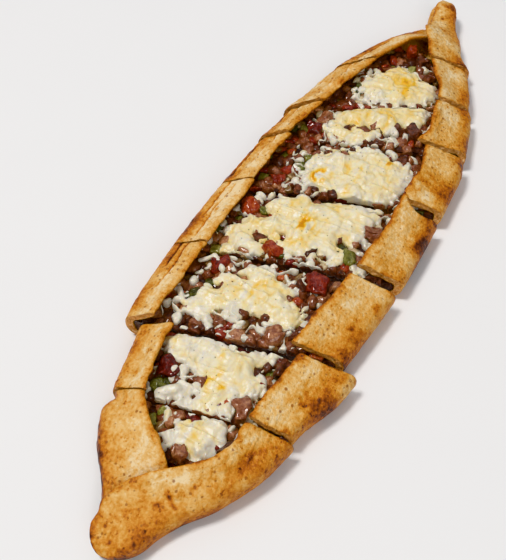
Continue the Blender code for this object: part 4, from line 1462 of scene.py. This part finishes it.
# What the oven did to each slice's flaps.
MARKS = {
    1: (
        Mark(-191.6, -6.5, 4.8, 2.8, height=1.9, bake=0.08, turn=56),
        Mark(-194.2, -5.6, 5.5, 1.2, height=-0.4, bake=0.5, turn=56),
        Mark(-189.0, -8.3, 3.6, 1.1, bake=0.44, turn=56),
        Mark(-195.1, -11.7, 3.4, 1.5, bake=0.46, turn=10),
        Mark(-198.6, -0.8, 3.0, 1.6, bake=0.42, turn=-30),
        Mark(-195.3, 13.3, 2.4, 1.4, bake=0.34), Mark(-199.5, 6.3, 2.8, 1.6, bake=0.38),
        Mark(-207.1, 9.9, 2.2, 1.5, bake=0.36), Mark(-202.0, 0.5, 2.2, 1.3, bake=0.3),
        Mark(-184.7, -12.2, 2.0, 1.2, bake=0.36), Mark(-178.9, -18.7, 5, 3.2, bake=0.12),
        Mark(-173.7, -24.4, 2.0, 1.5, bake=0.3), Mark(-152.7, -37.9, 1.5, 1.2, bake=0.45),
        Mark(-224.6, 18.5, 2.0, 1.6, bake=0.5), Mark(-216.9, 15.6, 1.2, 1.0, bake=0.5),
        Mark(-216.4, 10.4, 1.4, 1.1, bake=0.5), Mark(-222.3, 10.1, 1.4, 1.1, bake=0.45),
        Mark(-218.4, -0.4, 1.1, 0.9, bake=0.45), Mark(-226, 15, 5, 8, bake=0.24),
        Mark(-200.6, 17.9, 5, 4, bake=-0.22), Mark(-188, 1, 8, 4.5, bake=-0.3, turn=-50),
        Mark(-184, -8.7, 5, 4, bake=-0.28), Mark(-157, -20.5, 13, 4.5, bake=-0.36, turn=-22),
        Mark(-167.4, -25.2, 8, 3.2, bake=0.24, turn=-25),
        Mark(-157, -29.3, 8, 3, bake=0.22, turn=-25), Mark(-184.9, 39.5, 12, 4, bake=0.3, turn=35),
        Mark(-200.3, 30.2, 9, 3, bake=0.3, turn=30), Mark(-164, 51, 6, 4, bake=0.2),
        Mark(-205, -20, 16, 3, bake=-0.12, turn=-28), Mark(-178, 16, 9, 7, bake=-0.12),
        Mark(-160, 56, 5, 12, push=-6.0),
    ),
    2: (
        Mark(-116, -34.6, 7, 3, bake=0.26, turn=20), Mark(-140.5, -36, 5, 4, bake=0.28),
        Mark(-124, -30, 4, 3, bake=0.18), Mark(-120, -38, 18, 6, bake=0.14), Mark(-97.6, -48, 5, 6, bake=0.2),
        Mark(-94.8, -53.5, 2, 1.5, height=-0.9, bake=0.2), Mark(-130, -24, 16, 3.5, bake=-0.14, turn=-12),
        Mark(-111, 44, 4, 5, bake=0.1, lift=1.8), Mark(-128, 40, 12, 4, bake=-0.1),
        Mark(-136, -49, 16, 9, push=4.5), Mark(-146, 44, 6, 3, bake=0.25, turn=-20),
    ),
    3: (
        Mark(-51.4, -54.4, 3, 2, bake=0.34), Mark(-71.5, -50, 7, 4, bake=0.3),
        Mark(-57, -42, 8, 5, bake=-0.08), Mark(-92, -47, 6, 5, bake=0.12),
        Mark(-88, 51, 10, 3, bake=0.14),
    ),
    4: (
        Mark(-1.2, -58.8, 5, 2.6, bake=0.42, turn=20), Mark(5, -60.5, 4, 2.4, bake=0.36),
        Mark(20, -58.3, 7, 3, bake=0.22), Mark(2, -45, 12, 6, bake=-0.1),
        Mark(19, -35, 9, 6, pull=12.0, lift=1.5), Mark(24, -49, 8, 7, pull=-4.5),
        Mark(-33, 52, 1.6, 1.2, bake=0.5),
    ),
    5: (
        Mark(33, -51, 5, 4, bake=-0.45), Mark(72, -58, 5, 4, bake=0.16, lift=1.0),
        Mark(28, 50, 8, 2, bake=0.2), Mark(45, -46, 12, 6, bake=0.16),
        Mark(2, 52, 14, 2.2, height=1.2, turn=-6), Mark(27, -40, 6, 8, lift=-1.8, bake=-0.1),
        Mark(50, -34, 12, 5, push=-3.0), Mark(66, -56, 7, 6, push=-1.5, lift=1.2),
    ),
    6: (
        Mark(74, -45, 9, 5, bake=-0.06), Mark(73, 45, 8, 2.5, bake=0.2),
        Mark(36, 54, 12, 12, push=2.6, lift=1.0), Mark(48, 46, 16, 2.2, height=1.3, turn=-14),
        Mark(60, 42, 14, 1.6, height=-1.2, bake=0.12, turn=-16),
        Mark(62, -28, 8, 6, push=3.0, lift=1.0), Mark(84, -30, 9, 5, push=-2.5),
        Mark(98, -30, 6, 6, pull=4.0, lift=1.2),
    ),
    7: (
        Mark(103, 36, 5, 4, bake=0.1, lift=1.2), Mark(119, 33, 5, 3, bake=0.3, height=0.8),
        Mark(66, 50, 12, 12, push=2.6, lift=1.0), Mark(84, 42, 14, 2.0, height=1.3, turn=-22),
        Mark(94, 36, 12, 1.5, height=-1.2, bake=0.12, turn=-24),
        Mark(128, -36, 9, 5, bake=0.08), Mark(128, -20, 10, 2, bake=0.2),
        Mark(124, -20, 9, 5, push=-2.5), Mark(120, -46, 12, 7, push=2.5),
        Mark(150, -18, 7, 5, push=2.0, lift=0.8),
    ),
    8: (
        Mark(203, 2.2, 1.3, 1.2, bake=0.55), Mark(189, -1.2, 1.3, 1.2, bake=0.5),
        Mark(188, -4.5, 1.2, 1.0, bake=0.5), Mark(197, -0.5, 6, 2.5, bake=-0.16),
        Mark(215, 5, 10, 8, bake=0.2), Mark(164, -30, 7, 6, push=-2.5, pull=-2.0),
        Mark(178, -26, 8, 5, push=2.2), Mark(172, -20, 9, 1.2, height=-0.7, bake=0.14, turn=35),
    ),
}
# How much the left and right lips browned, where it differs from the other slices.
LIP_BROWN = {1: (0.5, 0.6), 2: (0.5, 0.9), 8: (0.7, 0.8)}
CREASES = {
    3: (Crease(-97, -50, 0.42), Crease(-82, -52, 0.62, 0.5)),
    4: (Crease(-56, -8, 0.4), Crease(-40, 2, 0.6, 0.6)),
    5: (Crease(8, 50, 0.35, 1.1), Crease(-4, 30, 0.66, 0.9), Crease(22, 46, 0.75, 0.9)),
    6: (Crease(40, 78, 0.5, 1.3), Crease(52, 84, 0.75, 0.9), Crease(44, 70, 0.25, 1.1)),
    7: (Crease(80, 112, 0.4, 1.3), Crease(95, 124, 0.7, 1.0), Crease(100, 136, 0.3, 1.2)),
    8: (Crease(128, 170, 0.5, 0.9),),
}


# Outlines on the uncut loaf, by slice: the cheese lay over the filling before it was cut.
def cheese_melts(slices: tuple[Slice, ...]) -> dict[int, CheeseMelt]:
    """The cheese of every slice that has some."""
    one, two, three, four, five, six, seven = slices[:7]
    return {
        1: CheeseMelt(one, (
            ((-157, 12), (-149, 0), (-151, -11), (-164, -12), (-172, -6), (-171, 5), (-165, 11)),
        ), ("cheese_1",), pools=(Pool(-162, 2, 7, 0.3), Pool(-156, 7, 3, 0.3))),
        2: CheeseMelt(two, (
            ((-119, 44), (-111, 27), (-108, 4), (-102, -14), (-116, -7), (-122, -15),
             (-131, -8), (-146, -2), (-152, 10), (-133, 14), (-128, 30)),
            ((-146, 26), (-138, 25), (-139, 17), (-147, 17)),
        ), ("cheese_2", "cheese_3"), blobs=(
            Blob((-149, 28, 1), (-144, 22, 2), 2.8), Blob((-128, 30, 1), (-126, 36, 1), 2.0),
        ), pools=(Pool(-126, 8, 4, 0.4), Pool(-116, 12, 3, 0.35), Pool(-132, 3, 2.5, 0.6),
                  Pool(-132.5, 12, 3, 0.4), Pool(-142, 21, 6, -0.4))),
        3: CheeseMelt(three, (
            ((-96, 39), (-84, 32), (-66, 26), (-55, 11), (-58, -8), (-72, -23), (-87, -18),
             (-88, -6), (-94, 10), (-100, 24)),
        ), ("cheese_4",), holes=(
            (-67, 18.5, 4.0), (-60.5, 25, 4.5), (-76, 29.5, 3.2), (-93, 17.6, 4.2),
            (-90, 0, 6.0), (-66, -18, 5.5),
        ), blobs=(
            Blob((-66, 30, 1), (-60, 38, 1), 1.8), Blob((-60, 38, 1), (-66, 44, 1), 1.3),
            Blob((-95, 38, 1), (-88, 44, 1), 1.5),
        ), pools=(Pool(-72, 8, 9, 0.2), Pool(-68.6, 2, 4, 0.35), Pool(-75, 14, 4, 0.2))),
        4: CheeseMelt(four, (
            ((-52, 40), (-25, 38), (-1, 21), (10, -9), (12, -31), (0, -29), (-20, -28),
             (-34, -26), (-37, -2), (-45, 14), (-54, 30)),
        ), ("cheese_5",), holes=(
            (-42, 10.3, 5.2), (-35.4, 22.2, 4.6), (-17.8, 30.1, 5.0), (-20, -22, 4.2),
            (-50, 26, 3.5), (-30, 12, 3.0), (-34, -14, 3.5),
        ), blobs=(
            Blob((-46, 44, 3), (-41, 52, 7), 0.5),
        ), richness=0.08, pools=(
            Pool(-17, 3, 6.0, 0.75), Pool(-21, 5, 3.5, 0.5), Pool(-31, 2, 4.5, 0.5),
            Pool(-6, 12, 7, 0.2))),
        5: CheeseMelt(five, (
            ((19, 22), (36, 26), (49, 18), (57, -5), (54, -32), (38, -36), (18, -30),
             (12, -10), (11, 8)),
        ), ("cheese_6",), holes=((51.3, 6.7, 4.0), (44, 20, 3.0)),
           pools=(
               Pool(23, 12, 5.0, 0.8), Pool(19, 14, 4.0, 0.6), Pool(51.4, -19.3, 3.5, 0.75),
               Pool(17, -6, 5, 0.3), Pool(36, -4, 8, 0.2))),
        6: CheeseMelt(six, (
            ((80, 27), (88, 22), (104, -8), (106, -22), (92, -23), (83, -11), (62, 2),
             (58, 16), (64, 24)),
        ), ("cheese_7",), holes=((76, 4, 2.6), (77.6, -12.7, 4.5), (72, 14, 2.5)), richness=0.14,
            pools=(Pool(82, 10, 8, 0.15), Pool(90, -1, 4, 0.3))),
        7: CheeseMelt(seven, (
            ((113, 24), (126, 20), (138, 11), (139, 1), (131, -19), (118, -22), (101, 5),
             (103, 19)),
        ), ("cheese_8", "cheese_9"), richness=0.14, pools=(
            Pool(127, -1, 5, 0.34), Pool(123, -3, 4, 0.2), Pool(115, -4, 3.5, 0.36))),
    }


@dataclass
class Studio:
    """A pale floor, soft lights and the camera."""

    position: tuple[float, float, float] = (-0.33015, -0.1271, 0.401)
    pitch: float = 52.0
    heading: float = -62.38
    lens: float = 57.857
    floor_size: float = 3.0
    tone_curve: str = "Khronos PBR Neutral"

    def floor(self) -> None:
        """A matt, nearly white floor under the bread."""
        material, tree, shader = new_material("matt_white_board")
        spot = add(tree, "TexCoord").outputs["Object"]
        cloud = add(tree, "TexNoise", {"Vector": spot, "Scale": per_metre(60.0)})
        tone = add(tree, "ValToRGB", {"Fac": cloud.outputs["Fac"]},
                   stops=((0.0, "#F0F0F1"), (1.0, "#F4F4F5")))
        tree.links.new(tone.outputs["Color"], shader.inputs["Base Color"])
        shader.inputs["Roughness"].default_value = 0.7
        half = self.floor_size / 2.0
        mesh = bpy.data.meshes.new("floor")
        corners = [(-half, -half, 0), (half, -half, 0), (half, half, 0), (-half, half, 0)]
        mesh.from_pydata(corners, [], [(0, 1, 2, 3)])
        mesh.materials.append(material)
        floor = bpy.data.objects.new("floor", mesh)
        bpy.context.scene.collection.objects.link(floor)

    def lamp(self, name: str, place: tuple[float, float, float], size: float, power: float,
             code: str) -> None:
        """A square soft light that faces the bread."""
        light = bpy.data.lights.new(name, "AREA")
        light.size = size
        light.energy = power
        light.color = srgb(code)[:3]
        lamp = bpy.data.objects.new(name, light)
        lamp.location = place
        lamp.rotation_euler = (-Vector(place)).to_track_quat("-Z", "Y").to_euler()
        bpy.context.scene.collection.objects.link(lamp)

    def build(self) -> None:
        """Make the floor, three lights, a pale surround and the camera."""
        self.floor()
        self.lamp("key", (-0.35, 0.6, 1.7), 0.42, 22.0, "#FFFCF8")
        self.lamp("fill", (1.2, 0.3, 1.4), 1.4, 5.0, "#F8F9FF")
        self.lamp("front", (-1.1, -1.0, 1.1), 1.0, 10.0, "#FFFDFA")
        world = bpy.data.worlds.new("pale_room")
        world.use_nodes = True
        back = world.node_tree.nodes["Background"]
        back.inputs["Color"].default_value = srgb("#F4F5F7")
        back.inputs["Strength"].default_value = 0.24
        bpy.context.scene.world = world
        camera = bpy.data.cameras.new("camera")
        camera.lens = self.lens
        view = bpy.data.objects.new("camera", camera)
        view.location = self.position
        view.rotation_euler = (math.radians(90.0 - self.pitch), 0.0, math.radians(self.heading))
        bpy.context.scene.collection.objects.link(view)
        bpy.context.scene.camera = view
        bpy.context.scene.view_settings.view_transform = self.tone_curve


def main() -> None:
    """Build the finishes, then each slice's dough, filling and cheese, then the studio."""
    logging.basicConfig(level=logging.INFO, format="%(name)s: %(message)s")
    dough = BakedDough().build()
    MeltedCheese().build()
    sauce = MoistDice("meat_juice_sauce", (
        (0.1, "#32140A"), (0.45, "#5C2E19"), (0.75, "#7E4A26"), (1.0, "#9A6A38")),
        roughness=0.3, coat=0.5).build()
    finishes = {
        Kind.MEAT: MoistDice("cooked_diced_meat", (
            (0.1, "#48200F"), (0.35, "#703C25"), (0.6, "#8A5239"), (0.8, "#9E674C"),
            (1.0, "#BC8662")), roughness=0.36, coat=0.7).build(),
        Kind.TOMATO: MoistDice("cooked_tomato", (
            (0.1, "#4C0E07"), (0.4, "#7E1F0F"), (0.7, "#9E381A"), (1.0, "#BE6436")),
            roughness=0.34, coat=0.7).build(),
        Kind.PEPPER: MoistDice("cooked_green_pepper", (
            (0.1, "#3A3A14"), (0.45, "#63642A"), (0.75, "#8A8744"), (1.0, "#ABA464")),
            roughness=0.28, coat=0.5).build(),
        Kind.ONION: MoistDice("cooked_onion", (
            (0.1, "#7A5A38"), (0.45, "#A98A62"), (0.75, "#CDB48C"), (1.0, "#E0CFAE")),
            roughness=0.28, coat=0.5).build(),
    }
    slices = tuple(Slice(number) for number in range(1, SLICES + 1))
    melts = cheese_melts(slices)
    for shape in slices:
        number = shape.number
        DoughSlice(shape, dough, MARKS[number], CREASES.get(number, ()),
                   LIP_BROWN.get(number, (0.35, 1.0))).build()
        FillingCore(shape, sauce).build()
        if shape.number in melts:
            melts[shape.number].build()
    Dice(slices, finishes, melts).build()
    Studio().build()


if __name__ == "__main__":
    main()
